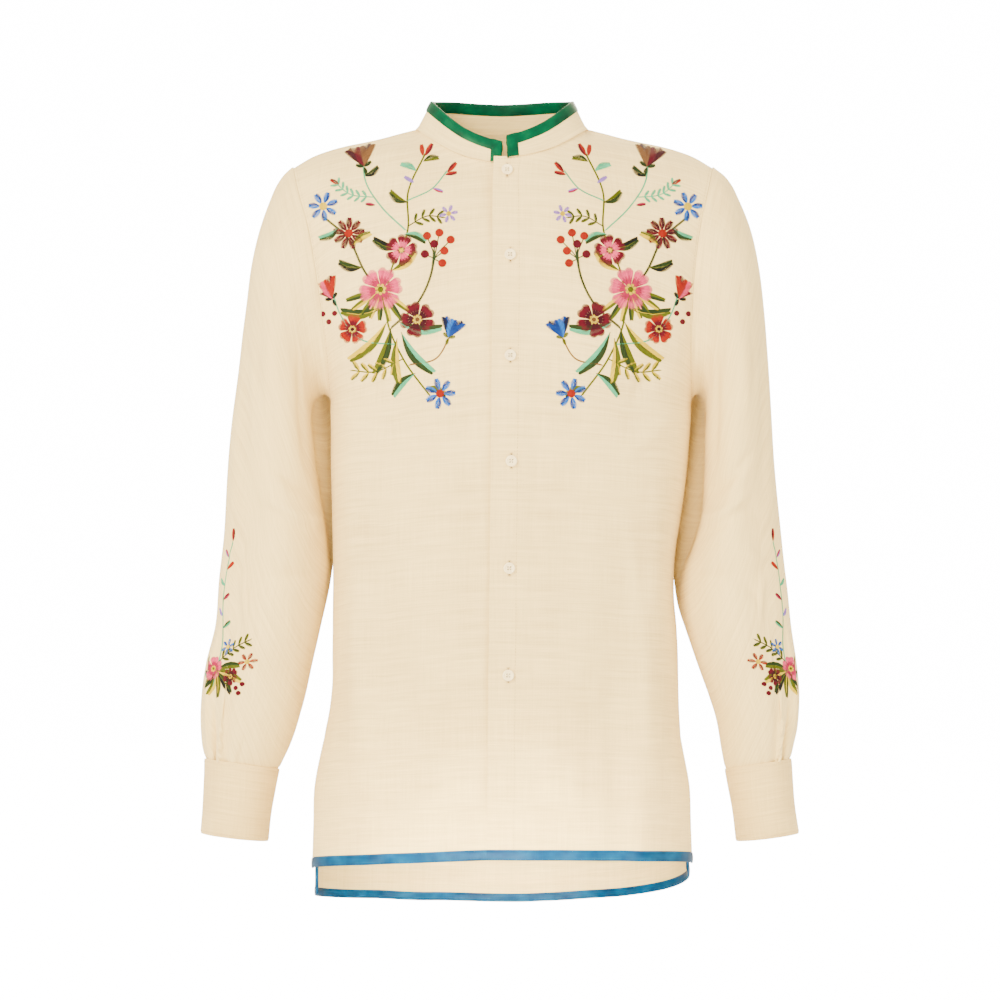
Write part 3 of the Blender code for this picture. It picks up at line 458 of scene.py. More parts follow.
def shoulder_points(side):
    """Points of the shoulder seam, from the neckline to the armhole, without the first."""
    share = np.linspace(0, 1, COLUMNS_SHOULDER + 1)[1:]
    tip_width = armhole_width(side, SHOULDER_TIP_HEIGHT)
    x = side * (NECK_WIDTH + (tip_width - NECK_WIDTH) * share)
    drop = smooth(share, SHOULDER_SEAM["share"], SHOULDER_SEAM["drop"])
    z = NECK_SIDE_HEIGHT + (SHOULDER_TIP_HEIGHT - NECK_SIDE_HEIGHT) * drop
    return np.stack([x, 0 * x, z], axis=-1)


def arrival(side, face, neck_angles):
    """Directions in which the lengthwise lines of a panel reach the neckline and the shoulder seam."""
    climb = np.radians(CLIMB_AT_MIDDLE - FLATTER_AT_SIDE * np.sin(neck_angles))
    turn = np.radians(TURN_TO_NECK) * np.sin(2 * np.abs(neck_angles))
    at_neck = np.stack([
        -side * np.sign(neck_angles) * np.sin(turn) * np.cos(climb),
        -face * np.cos(turn) * np.cos(climb),
        np.sin(climb),
    ], axis=-1)
    share = np.linspace(0, 1, COLUMNS_SHOULDER + 1)[1:, None]
    at_tip = np.array([0, -face, RISE_AT_TIP])
    return np.vstack([at_neck, unit(at_neck[-1] * (1 - share) ** 2 + at_tip * (1 - (1 - share) ** 2))])


def half_panel(side, face, neck_angles, edge_x):
    """Outer points of one side of a panel: rows from the hem to the shoulder, columns from the middle out.

    Below the shoulder the rows lie on the body form. From there each lengthwise line curves over to the
    top.
    """
    shares = np.linspace(0, 1, COLUMNS_NECK + COLUMNS_SHOULDER + 1)
    middles, edges = row_heights(face, side)
    quarter = math.pi / 2
    armhole = armhole_points(side, face)
    rows = []
    for middle_height, edge_height in zip(middles, edges):
        first = angle_at_width(edge_x(middle_height) / body_width(side, face, middle_height))
        rows.append(body_row(side, face, first, quarter, middle_height, edge_height, shares))
    for number in range(1, ROWS_FORM + 1):
        step = number / ROWS_FORM
        middle_height = ARMPIT_ROW_MIDDLE + (FORM_TOP_MIDDLE - ARMPIT_ROW_MIDDLE) * step
        edge_width, edge_height = abs(armhole[number, 0]), armhole[number, 2]
        first = angle_at_width(edge_x(middle_height) / body_width(side, face, middle_height))
        last = angle_at_width(edge_width / body_width(side, face, edge_height))
        rows.append(body_row(side, face, first, last, middle_height, edge_height, shares))
    top = np.vstack([neck_points(side, face, neck_angles), shoulder_points(side)])
    rows_left = ROWS_ARMHOLE - ROWS_FORM
    start = rows[-1]
    start_pull = (rows[-1] - rows[-2]) * rows_left
    reach = np.linalg.norm(top - start, axis=-1, keepdims=True)
    end_pull = arrival(side, face, neck_angles) * reach
    for number in range(1, rows_left + 1):
        row = curve_between(number / rows_left, start, start_pull, top, end_pull)
        correction = armhole[ROWS_FORM + number] - row[-1]
        row = row + correction * shares[:, None] ** ARMHOLE_PULL
        for _ in range(0 if number == rows_left else SMOOTHING_PER_ROW * number):
            row[1:-1] = row[1:-1] / 2 + (row[:-2] + row[2:]) / 4
        rows.append(row)
    return np.array(rows)


def fold_height(face, points):
    """How far the soft folds lift the cloth at points of the body."""
    x, z = points[..., 0], points[..., 2]
    lift = 0 * x
    for number in np.flatnonzero(BODY_FOLDS["face"] == face):
        fold = {name: values[number] for name, values in BODY_FOLDS.items()}
        share = (z - fold["top_z"]) / (fold["bottom_z"] - fold["top_z"])
        middle = fold["top_x"] + (fold["bottom_x"] - fold["top_x"]) * share
        ends = ease(fold["top_z"] - z, 0, FOLD_FADE) * ease(z - fold["bottom_z"], 0, FOLD_FADE)
        lift = lift + fold["height"] * ends * np.exp(-(((x - middle) / fold["half_width"]) ** 2))
    return lift


def fade_to_seams(rows, columns, both_sides=False, top=SEAM_FADE_ROWS, side=SEAM_FADE_COLUMNS, hem=None):
    """1 in the middle of a panel and 0 along its side seams, armholes, neckline and shoulder seams.

    A hem of (first, last) fades the lowest rows too, as a binding holds them.
    """
    row = np.arange(rows)[:, None]
    column = np.arange(columns)[None, :]
    fade = ease(rows - 1 - row, 0, top) * ease(columns - 1 - column, 0, side)
    if hem:
        fade = fade * ease(row, *hem)
    if both_sides:
        fade = fade * ease(column, 0, side)
    return fade


def no_lean(normals, axis):
    """The normals with no part along one axis, so that the edges of two pieces face each other squarely."""
    flat = normals.copy()
    flat[..., axis] = 0
    return unit(flat)


def vent_rows():
    """How many rows lie below the top of the vents."""
    return len(FRONT_VENT_SHARES) + 3


def lap_height(x, z):
    """How far the left front stands off the body form where it lies over the right front."""
    above_hem = z - FRONT_HEM["middle"]
    below_neck = NECK_FRONT_HEIGHTS[LEFT] - z
    height = LAP + (LAP_AT_HEM - LAP) * ease(above_hem, *LAP_HEM_ZONE)
    height = height + (LAP_AT_NECK - LAP) * ease(below_neck, *LAP_NECK_ZONE)
    return height * (1 - ease(x, LAP_FULL_TO, LAP_GONE_AT))


def over_edge(height):
    """Where the edge of the left front runs, from the middle of the body towards the wearer's left."""
    share = (height - NECK_FRONT_HEIGHTS[LEFT]) / (FRONT_HEM["middle"] - NECK_FRONT_HEIGHTS[LEFT])
    return OVER_EDGE_TOP + (OVER_EDGE_HEM - OVER_EDGE_TOP) * share


def under_edge(height):
    """Where the edge of the right front runs, from the middle of the body towards the wearer's right."""
    return -UNDER_EDGE + 0 * height


def front_panel(side):
    """Outer points and normals of one front."""
    edge_x = over_edge if side == LEFT else under_edge
    collar_end = side * COLLAR_ENDS[side]
    first = math.asin(edge_x(NECK_FRONT_HEIGHTS[side]) / NECK_WIDTH)
    second = math.asin(collar_end / NECK_WIDTH)
    neck_angles = np.concatenate([[first], np.linspace(second, math.pi / 2, COLUMNS_NECK)])
    points = half_panel(side, FRONT, neck_angles, edge_x)
    normals = grid_normals(points, side)
    fade = fade_to_seams(*points.shape[:2])
    points = points + normals * (fold_height(FRONT, points) * fade)[..., None]
    if side == LEFT:
        points[..., 1] -= lap_height(points[..., 0], points[..., 2])
    side_rows = vent_rows() + ROWS_SIDE_SEAM + 1
    points[:side_rows, -1, 1] -= SEAM_GAP / 2
    points[-1, COLUMNS_NECK:, 1] -= SEAM_GAP / 2
    normals = grid_normals(points, side)
    normals[:side_rows, -1] = no_lean(normals[:side_rows, -1], 1)
    normals[-1, COLUMNS_NECK:] = no_lean(normals[-1, COLUMNS_NECK:], 1)
    return points, normals


# Fine cloth: size of its cells, its own thickness, how deep its creases are, and how it fades to the seams
CELL = 4.0
THIN = 0.8
CREASE_DEPTH = 2.1
FINE_FADE = {"top": 6, "side": 5, "hem": (2, 8)}
CLOTH_EDGE_ANGLE = 60


def along_curve(values, knots, at):
    """Rows of points between the given rows, on smooth curves through them."""
    slopes = np.gradient(values, knots, axis=0)
    row = np.clip(np.searchsorted(knots, at, side="right") - 1, 0, len(knots) - 2)
    step = (knots[row + 1] - knots[row])[:, None, None]
    t = (at - knots[row])[:, None, None] / step
    return curve_between(t, values[row], slopes[row], values[row + 1], slopes[row + 1], step)


def finer_rows(points, cell=CELL):
    """The same surface with more rows, and where each of the old rows is among them."""
    lengths = np.linalg.norm(np.diff(points, axis=0), axis=-1).mean(axis=1)
    knots = np.concatenate([[0], np.cumsum(lengths)])
    counts = np.maximum(1, np.round(lengths / cell)).astype(int)
    places = [np.linspace(knots[n], knots[n + 1], count, endpoint=False) for n, count in enumerate(counts)]
    places = np.concatenate(places + [knots[-1:]])
    return along_curve(points, knots, places), np.concatenate([[0], np.cumsum(counts)])


# How many columns a tube's grid repeats past its join, so that the curves run on smoothly there
COLUMNS_WRAPPED = 3


def finer(points, cell=CELL, around=False):
    """A finer grid through the same points, and where the old rows and columns are in it."""
    points, rows = finer_rows(points, cell)
    turned = points.swapaxes(0, 1)
    if around:
        reach = COLUMNS_WRAPPED
        wrapped = np.concatenate([turned[-reach:], turned, turned[:reach + 1]])
        wrapped, columns = finer_rows(wrapped, cell)
        first, last = columns[reach], columns[reach + len(turned)]
        return wrapped[first:last].swapaxes(0, 1), rows, columns[reach:reach + len(turned) + 1] - first
    turned, columns = finer_rows(turned, cell)
    return turned.swapaxes(0, 1), rows, columns


def crease_lift(a, b, creases):
    """How far the creases lift the cloth at flat places (a, b), each a bowed line that fades at its ends."""
    lift = 0 * a
    for a1, b1, a2, b2, bow, half_width, height in creases:
        length = math.hypot(a2 - a1, b2 - b1)
        along_a, along_b = (a2 - a1) / length, (b2 - b1) / length
        share = ((a - a1) * along_a + (b - b1) * along_b) / length
        inside = np.clip(share, 0, 1)
        bulge = np.sin(math.pi * inside)
        across = (b - b1) * along_a - (a - a1) * along_b - bow * bulge
        width = half_width * (0.55 + 0.45 * bulge)
        beyond = (share - inside) * length
        ridge = np.exp(-((across / width) ** 2) - (beyond / half_width) ** 2)
        lift = lift + CREASE_DEPTH * height * bulge**0.8 * ridge
    return lift


def unevenness(a, b):
    """The slight unevenness of cloth that has been worn and pressed."""
    return (
        0.30 * np.sin(a / 17 + 1.7 * np.sin(b / 71))
        + 0.26 * np.sin(b / 39 + 1.3 * np.sin(a / 33 + 0.6))
        + 0.16 * np.sin((a + 0.6 * b) / 11 + 1.1 * np.sin(b / 23))
        + 0.12 * np.sin((a - 0.7 * b) / 7.3 + 0.9 * np.sin(a / 19))
    )


def flat_places(points, around=False):
    """Distances across and along a grid of points, in the cloth's own surface."""
    closed = np.concatenate([points, points[:, :1]], axis=1) if around else points
    across = np.linalg.norm(np.diff(closed, axis=1), axis=-1)
    along = np.linalg.norm(np.diff(closed, axis=0), axis=-1)
    a = np.concatenate([0 * across[:, :1], np.cumsum(across, axis=1)], axis=1)
    b = np.concatenate([0 * along[:1], np.cumsum(along, axis=0)])
    return np.stack([a, b], axis=-1)


def new_piece(name, mesh, material):
    """A piece of the shirt from a mesh."""
    mesh.materials.clear()
    mesh.materials.append(material)
    piece = bpy.data.objects.new(name, mesh)
    bpy.context.scene.collection.objects.link(piece)
    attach(piece, "root")
    return piece


def cloth_piece(name, outer, normals, thickness, flat, material, around=False):
    """A cloth shell from a fine grid: outer side, inner side and the edges between, with a flat UV map."""
    rows, columns = outer.shape[:2]
    inner = outer - normals * thickness
    vertices = np.vstack([outer.reshape(-1, 3), inner.reshape(-1, 3)]) * MM
    step = np.arange(columns if around else columns - 1)
    beside = (step + 1) % columns
    faces, corners = [], []
    for row in range(rows - 1):
        for column, after in zip(step, beside):
            low, high = row * columns, (row + 1) * columns
            faces.append((low + column, low + after, high + after, high + column))
            corners.append(((row, column), (row, column + 1), (row + 1, column + 1), (row + 1, column)))
    count = rows * columns
    faces += [tuple(place + count for place in reversed(face)) for face in faces]
    corners += [tuple(reversed(corner)) for corner in corners]
    rim = []
    for column, after in zip(step, beside):
        rim.append(((0, column), (0, column + 1), column, after))
        rim.append(((rows - 1, column + 1), (rows - 1, column), (rows - 1) * columns + after,
                    (rows - 1) * columns + column))
    if not around:
        for row in range(rows - 1):
            rim.append(((row + 1, 0), (row, 0), (row + 1) * columns, row * columns))
            rim.append(((row, columns - 1), (row + 1, columns - 1), row * columns + columns - 1,
                        (row + 1) * columns + columns - 1))
    for first, second, a, b in rim:
        faces.append((b, a, a + count, b + count))
        corners.append((second, first, first, second))
    mesh = bpy.data.meshes.new(name)
    mesh.from_pydata(vertices.tolist(), [], faces)
    face_side = np.array(mesh.polygons[0].normal) @ normals[0, 0]
    layer = mesh.uv_layers.new(name="flat")
    places = np.array([flat[corner] for face in corners for corner in face]) * MM
    layer.data.foreach_set("uv", places.ravel())
    if face_side < 0:
        mesh.flip_normals()
    mesh.shade_smooth()
    mesh.set_sharp_from_angle(angle=math.radians(CLOTH_EDGE_ANGLE))
    return new_piece(name, mesh, material)


# The fine pieces of cloth by name: their points, normals, the places of their solids' rows and columns among
# them, and the piece itself
fine = {}


def dress(name, points, normals, places, thickness, material, flat=None, around=False):
    """Make a piece of cloth from its fine grid, in place of the solid of that name, and keep the grid."""
    flat = flat_places(points, around) if flat is None else flat
    piece = cloth_piece(name + "_cloth", points, normals, thickness, flat, material, around)
    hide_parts(name)
    rows, columns = places
    fine[name] = {"points": points, "normals": normals, "rows": rows, "columns": columns, "piece": piece}


def stretched_noise(tree, places, scale, detail=2.0):
    """Soft noise at places that are stretched by a scale each way."""
    stretch = tree.nodes.new("ShaderNodeVectorMath")
    stretch.operation = "MULTIPLY"
    stretch.inputs[1].default_value = scale
    link(tree, places, stretch.inputs[0])
    noise = tree.nodes.new("ShaderNodeTexNoise")
    noise.inputs["Scale"].default_value = 1.0
    noise.inputs["Detail"].default_value = detail
    link(tree, stretch.outputs[0], noise.inputs["Vector"])
    return noise.outputs[0]


def flat_uv(tree):
    """The places of a piece of cloth laid flat."""
    flat = tree.nodes.new("ShaderNodeUVMap")
    flat.uv_map = "flat"
    return flat.outputs[0]


def raise_bumps(tree, shader, height, strength, distance):
    """Make a height show as relief on a shader."""
    bump = tree.nodes.new("ShaderNodeBump")
    bump.inputs["Strength"].default_value = strength
    bump.inputs["Distance"].default_value = distance
    link(tree, height, bump.inputs["Height"])
    link(tree, bump.outputs[0], shader.inputs["Normal"])


# Weave: yarns each way, their slubs as stretches of noise with a weight each, and the relief they give. The
# group scales its places so that each band of the wave textures is a yarn.
YARNS_PER_METRE = 1500.0
SLUBS = (((26, 900, 1), 1.1), ((800, 20, 1), 0.7), ((9, 240, 1), 0.9), ((14, 11, 1), 0.7))
WAVE_SCALE = math.pi / 10
YARN_WANDER = 0.6
WEAVE_BUMP = 0.35
WEAVE_DEPTH = 0.00025
LINEN_SHADER = {"Roughness": 0.85, "Specular IOR Level": 0.25, "Sheen Weight": 0.12, "Sheen Roughness": 0.6}
LINEN_DARK = (0.68, 0.51, 0.215)
LINEN_LIGHT = (0.94, 0.75, 0.325)
# The cuffs' copy of the same linen, darker and warmer: painted shade.
CUFF_PAINTED_SHADE_DARK = (0.64, 0.455, 0.175)
CUFF_PAINTED_SHADE_LIGHT = (0.88, 0.67, 0.265)


def weave_group():
    """A shader group for plain-woven linen: thick and thin yarns both ways, in the cloth's flat places."""
    group = bpy.data.node_groups.new("linen_weave", "ShaderNodeTree")
    group.interface.new_socket("Flat", in_out="INPUT", socket_type="NodeSocketVector")
    for socket_name, value in (("Yarns per metre", YARNS_PER_METRE), ("Slub contrast", 1.0)):
        socket = group.interface.new_socket(socket_name, in_out="INPUT", socket_type="NodeSocketFloat")
        socket.default_value = value
    group.interface.new_socket("Tone", in_out="OUTPUT", socket_type="NodeSocketFloat")
    group.interface.new_socket("Height", in_out="OUTPUT", socket_type="NodeSocketFloat")
    nodes = group.nodes
    source = nodes.new("NodeGroupInput")
    result = nodes.new("NodeGroupOutput")
    total = None
    for scale, weight in SLUBS:
        noise = stretched_noise(group, source.outputs["Flat"], scale)
        tone = calculate(group, "MULTIPLY_ADD", noise, weight, -weight / 2)
        total = tone if total is None else calculate(group, "ADD", total, tone)
    contrast = calculate(group, "MULTIPLY_ADD", total, source.outputs["Slub contrast"], 0.5, clamp=True)
    link(group, contrast, result.inputs["Tone"])
    yarns = nodes.new("ShaderNodeVectorMath")
    yarns.operation = "SCALE"
    link(group, source.outputs["Flat"], yarns.inputs[0])
    link(group, source.outputs["Yarns per metre"], yarns.inputs["Scale"])
    heights = []
    for direction in ("X", "Y"):
        wave = nodes.new("ShaderNodeTexWave")
        wave.wave_type = "BANDS"
        wave.bands_direction = direction
        wave.inputs["Scale"].default_value = WAVE_SCALE
        wave.inputs["Distortion"].default_value = YARN_WANDER
        wave.inputs["Detail"].default_value = 0.0
        link(group, yarns.outputs[0], wave.inputs["Vector"])
        heights.append(wave.outputs["Fac"])
    woven = calculate(group, "MULTIPLY", *heights)
    link(group, calculate(group, "ADD", woven, contrast), result.inputs["Height"])
    return group


def linen_material(name, dark, light):
    """Natural linen: two tones of one undyed yarn, matt, with a faint bloom at grazing angles."""
    material, tree, shader = new_material(name, LINEN_SHADER)
    weave = tree.nodes.new("ShaderNodeGroup")
    weave.node_tree = linen_weave
    link(tree, flat_uv(tree), weave.inputs["Flat"])
    link(tree, between_tones(tree, weave.outputs["Tone"], dark, light), shader.inputs["Base Color"])
    raise_bumps(tree, shader, weave.outputs["Height"], WEAVE_BUMP, WEAVE_DEPTH)
    return material


linen_weave = weave_group()
linen = linen_material("natural_linen", LINEN_DARK, LINEN_LIGHT)
cuff_linen_painted_shade = linen_material("cuff_linen_painted_shade", CUFF_PAINTED_SHADE_DARK, CUFF_PAINTED_SHADE_LIGHT)

# Creases of the fronts as seen from the front: from (x, z) to (x, z), bow, half width, height of the ridge
FRONT_CREASES = (
    (-172, -205, -118, -262, 8, 7, -1.6),
    (-166, -262, -96, -318, -6, 8, 1.3),
    (-150, -320, -134, -520, 5, 9, -1.4),
    (-128, -360, -146, -600, -4, 8, 1.2),
    (-96, -470, -88, -690, 3, 10, -1.2),
    (-60, -520, -66, -700, 4, 9, 0.9),
    (-36, -200, -30, -560, 3, 9, -1.0),
    (-22, -430, -24, -700, 2, 7, 0.8),
    (-110, -560, -60, -590, 7, 9, 0.6),
    (176, -215, 124, -270, -7, 7, -1.5),
    (172, -270, 104, -330, 6, 8, 1.3),
    (148, -330, 138, -540, -5, 9, -1.3),
    (124, -370, 140, -620, 5, 8, 1.2),
    (92, -480, 86, -700, -3, 10, -1.2),
    (52, -500, 60, -700, -4, 9, 0.9),
    (38, -190, 32, -540, -3, 9, -1.0),
    (40, -440, 44, -700, 2, 8, 0.8),
    (112, -540, 66, -580, -6, 9, 0.6),
    (-60, -60, -120, -90, -5, 9, 0.8),
    (62, -62, 124, -94, 5, 9, 0.8),
)
# Left front's placket: the band along its edge, how far it and the edge itself stand up, and over what width
PLACKET_WIDTH = 26
PLACKET_RELIEF = 0.35
PLACKET_STEP = 2
OVERLAP_RISE = 1.1
OVERLAP_WIDTH = 7
CREASE_FREE_EDGE = 12

panels = {}
for side in (RIGHT, LEFT):
    name = "front_" + SIDE_NAMES[side]
    panels[name] = front_panel(side)
    points, *places = finer(panels[name][0])
    normals = grid_normals(points, side)
    x, z = points[..., 0], points[..., 2]
    from_edge = np.abs(x - (over_edge(z) if side == LEFT else -under_edge(z)))
    fade = fade_to_seams(*points.shape[:2], **FINE_FADE)
    lift = (crease_lift(x, z, FRONT_CREASES) + unevenness(x, z)) * fade
    lift = lift * ease(from_edge, 0, CREASE_FREE_EDGE)
    if side == LEFT:
        band = 1 - ease(from_edge, PLACKET_WIDTH - PLACKET_STEP, PLACKET_WIDTH)
        lift = lift + PLACKET_RELIEF * band * fade
        lift = lift + OVERLAP_RISE * (1 - ease(from_edge, 0, OVERLAP_WIDTH)) * fade
    points = points + normals * lift[..., None]
    dress(name, points, grid_normals(points, side), places, THIN, linen)


# Back: one panel of the same linen from shoulder to shoulder, longer than the fronts, with short vents at
# both sides. It is sewn to the fronts at the shoulders and down the sides to the vents.
def back_panel():
    """Outer points and normals of the back, with columns from the wearer's right to the left."""
    neck_angles = np.linspace(0, math.pi / 2, COLUMNS_NECK + 1)
    right, left = (half_panel(side, BACK, neck_angles, lambda height: 0 * height) for side in (RIGHT, LEFT))
    points = np.concatenate([right[:, :0:-1], left], axis=1)
    normals = grid_normals(points, -1)
    fade = fade_to_seams(*points.shape[:2], both_sides=True)
    points = points + normals * (fold_height(BACK, points) * fade)[..., None]
    low = vent_rows()
    side_rows = low + ROWS_SIDE_SEAM + 1
    for edge, towards_middle in ((0, 1), (-1, -1)):
        points[low:side_rows, edge, 1] += SEAM_GAP / 2
        points[:low, edge, 1] += VENT_SPREAD
        points[-1, edge, 1] += SEAM_GAP / 2
        drop = (VENT_TOP - points[:low, edge, 2]) / (VENT_TOP - BACK_HEM["middle"])
        tuck = VENT_TUCK + (VENT_TUCK_AT_HEM - VENT_TUCK) * drop
        points[:low, edge, 0] += towards_middle * tuck
        points[:low, edge + towards_middle, 0] += towards_middle * tuck / 2
    shoulders = (slice(0, COLUMNS_SHOULDER + 1), slice(-COLUMNS_SHOULDER - 1, None))
    for shoulder in shoulders:
        points[-1, shoulder, 1] = SEAM_GAP / 2
    normals = grid_normals(points, -1)
    for edge in (0, -1):
        normals[:side_rows, edge] = no_lean(normals[:side_rows, edge], 1)
    for shoulder in shoulders:
        normals[-1, shoulder] = no_lean(normals[-1, shoulder], 1)
    return points, normals


# Creases of the back as seen from the front, with the fronts' columns
BACK_CREASES = (
    (-168, -210, -112, -258, 8, 8, -1.5),
    (-160, -262, -100, -330, -6, 8, 1.3),
    (-140, -330, -128, -560, 5, 9, -1.3),
    (-98, -420, -110, -700, -4, 9, 1.2),
    (-50, -380, -58, -640, 4, 10, -1.0),
    (8, -300, 16, -600, 4, 10, 0.9),
    (48, -420, 42, -690, -4, 9, -1.0),
    (96, -360, 104, -640, 5, 9, 1.2),
    (138, -320, 130, -560, -5, 9, -1.3),
    (170, -214, 116, -262, -8, 8, -1.5),
    (160, -266, 104, -322, 6, 8, 1.2),
    (-70, -150, -130, -180, 6, 9, 0.8),
    (66, -150, 132, -176, -6, 9, 0.8),
)

BACK_UNEVENNESS_SHIFT = 37

panels["back"] = back_panel()
points, *places = finer(panels["back"][0])
normals = grid_normals(points, -1)
x, z = points[..., 0], points[..., 2]
lift = crease_lift(x, z, BACK_CREASES) + unevenness(x + BACK_UNEVENNESS_SHIFT, z)
lift = lift * fade_to_seams(*points.shape[:2], both_sides=True, **FINE_FADE)
points = points + normals * lift[..., None]
dress("back", points, grid_normals(points, -1), places, THIN, linen)

# Sleeves: each is one piece of linen, set in at the armhole, full above the elbow and laid in pleats where
# it is sewn into the cuff.

# Sections from the armhole to the cuff. The outer line runs over the top and down the outside, the inner line
# runs from the armpit down the inside; widths are distances from the middle of the body. Behind the inner
# line the cloth hangs in towards the body, by in_right and in_left. A section's front is higher than its back
# by rise, as a share of its depth.
SLEEVE_COLUMNS = (
    "outer_z outer_right outer_left inner_z inner_right inner_left front back in_right in_left rise"
)
SLEEVE_SECTIONS = table(SLEEVE_COLUMNS, (
    (-31, 208, 210, -265, 171, 189, 62, 66, 0, 0, 0),
    (-32, 210, 212, -261, 172, 190, 62.5, 66.5, 0, 0, 0),
    (-34.5, 213, 215, -258, 175.5, 193, 63, 67, 2, 1, 0),
    (-39, 217.5, 221, -258, 181, 197.5, 64, 68, 7, 3, 0),
    (-48, 223.7, 228.2, -263.5, 186, 201, 65, 69, 14, 8, 0),
    (-64, 231, 236, -276, 189, 202.5, 66, 70, 20, 14, 0),
    (-92, 241, 247, -293, 188.5, 202, 67, 71, 24, 19, 0),
    (-130, 250, 256, -313, 186.5, 201, 68, 71, 25, 23, 0),
    (-175, 256, 261.5, -334, 184, 200.5, 69, 70, 24, 26, 0),
    (-225, 262, 265.5, -357, 180.5, 199.5, 70, 67, 22, 28, 0),
    (-280, 268.5, 269, -382, 176.5, 197, 70, 63, 18, 28, 0),
    (-335, 273.5, 272.5, -408, 173.5, 189, 69, 58, 13, 23, 0),
    (-390, 277, 278, -436, 173, 179, 68, 53, 8, 14, 0),
    (-443, 283, 284, -466, 177, 177, 66, 49, 4, 6, 0),
    (-487, 286.5, 288.5, -497, 183, 185, 64, 45, 0, 0, 0.01),
    (-525, 296, 294, -528, 189.5, 195.5, 62, 41, 0, 0, 0.02),
    (-560, 300.5, 297.5, -559, 196.5, 206.5, 60, 37, 0, 0, 0.035),
    (-590, 301, 295.5, -589, 205, 215.5, 57, 33, 0, 0, 0.05),
    (-608, 299.5, 291.5, -612, 213.5, 219.5, 53.5, 30, 0, 0, 0.06),
    (-621, 297, 289, -631.5, 223, 223, 49, 28, 0, 0, 0.07),
))
SLEEVE_BLEND_ROWS = 6
COLUMNS_AROUND_SLEEVE = 24

# Long soft folds of the sleeves: angle from the outer line towards the front, first and last section, half
# width in degrees, and height
SLEEVE_FOLDS = table("angle first last half_width height", (
    (28, 5, 15, 15, 3),
    (62, 7, 16, 14, -3.5),
    (100, 9, 17, 15, 3),
    (140, 8, 15, 16, -3),
    (-30, 6, 15, 15, 3),
    (-70, 8, 16, 15, -3.5),
    (-115, 9, 16, 16, 3),
))

# Pleats at the cuff: the sleeve's front columns of points drift together towards the pleats, to an offset in
# degrees from one of them, and each pleat lifts one edge and tucks the next
PLEAT_ANGLES = (38, 63)
PLEAT_COLUMNS = table("column pleat offset", (
    (1, 0, -8),
    (2, 0, -2.5),
    (3, 0, 2.5),
    (4, 1, -7),
    (5, 1, -2.5),
    (6, 1, 2.5),
    (7, 1, 13),
    (8, 1, 31),
    (9, 1, 51),
    (10, 1, 72),
    (11, 1, 94),
))
PLEAT_EDGES = (2, 5)
PLEAT_LIFT = 1.3
PLEAT_TUCK = 2.6
PLEAT_DRIFT_SECTIONS = (9, 14)
PLEAT_SECTIONS = (14, 18)


def oval(section, side, angles):
    """One oval section of a sleeve or a cuff, at angles from its outer line towards the front."""
    name = SIDE_NAMES[side]
    outer = np.array([side * section["outer_" + name], 0, section["outer_z"]])
    inner = np.array([side * section["inner_" + name], 0, section["inner_z"]])
    middle = (outer + inner) / 2
    depth = np.where(np.sin(angles) > 0, section["front"], section["back"])
    cosine, sine = np.cos(angles)[:, None], np.sin(angles)[:, None]
    behind = 2 * np.clip(-sine, 0, 1) * np.clip(-cosine, 0, 1)
    inward = np.array([-side * section.get("in_" + name, 0), 0, 0])
    forward = np.array([0, -1, section["rise"]])
    return middle + (outer - middle) * cosine + forward * depth[:, None] * sine + inward * behind


def section_at(sections, row):
    """One row of a table of sections."""
    return {name: values[row] for name, values in sections.items()}


def sleeve_angles(row):
    """Angles of the sleeve's columns at a section: even at the armhole, drawn to the pleats at the cuff."""
    even = np.arange(COLUMNS_AROUND_SLEEVE) * 2 * math.pi / COLUMNS_AROUND_SLEEVE
    drawn = even.copy()
    for column, pleat, offset in zip(*PLEAT_COLUMNS.values()):
        drawn[int(column)] = math.radians(PLEAT_ANGLES[int(pleat)] + offset)
    return even + (drawn - even) * ease(row, *PLEAT_DRIFT_SECTIONS)


def sleeve_lift(row, angles):
    """How far the folds and pleats of a sleeve move its points out at a section."""
    lift = 0 * angles
    for number in range(len(SLEEVE_FOLDS["angle"])):
        fold = {name: values[number] for name, values in SLEEVE_FOLDS.items()}
        away = np.degrees(np.angle(np.exp(1j * (angles - math.radians(fold["angle"])))))
        length = np.sin(math.pi * np.clip((row - fold["first"]) / (fold["last"] - fold["first"]), 0, 1))
        lift = lift + fold["height"] * length * np.exp(-((away / fold["half_width"]) ** 2))
    pleat = ease(row, *PLEAT_SECTIONS)
    for column in PLEAT_EDGES:
        lift[column] += PLEAT_LIFT * pleat
        lift[column + 1] -= PLEAT_TUCK * pleat
    return lift


def sleeve(side, armhole, armhole_outward):
    """Outer points of a sleeve: rows from the armhole to the cuff, columns around it."""
    first_oval = oval(section_at(SLEEVE_SECTIONS, 0), side, sleeve_angles(0))
    rows = [armhole + armhole_outward * SEAM_GAP]
    for row in range(1, len(SLEEVE_SECTIONS["front"])):
        angles = sleeve_angles(row)
        section = oval(section_at(SLEEVE_SECTIONS, row), side, angles)
        stay = 1 - ease(row, 0, SLEEVE_BLEND_ROWS)
        middle = section.mean(axis=0)
        rows.append(section + stay * (armhole - first_oval)
                    + unit(section - middle) * sleeve_lift(row, angles)[:, None])
    return np.array(rows)


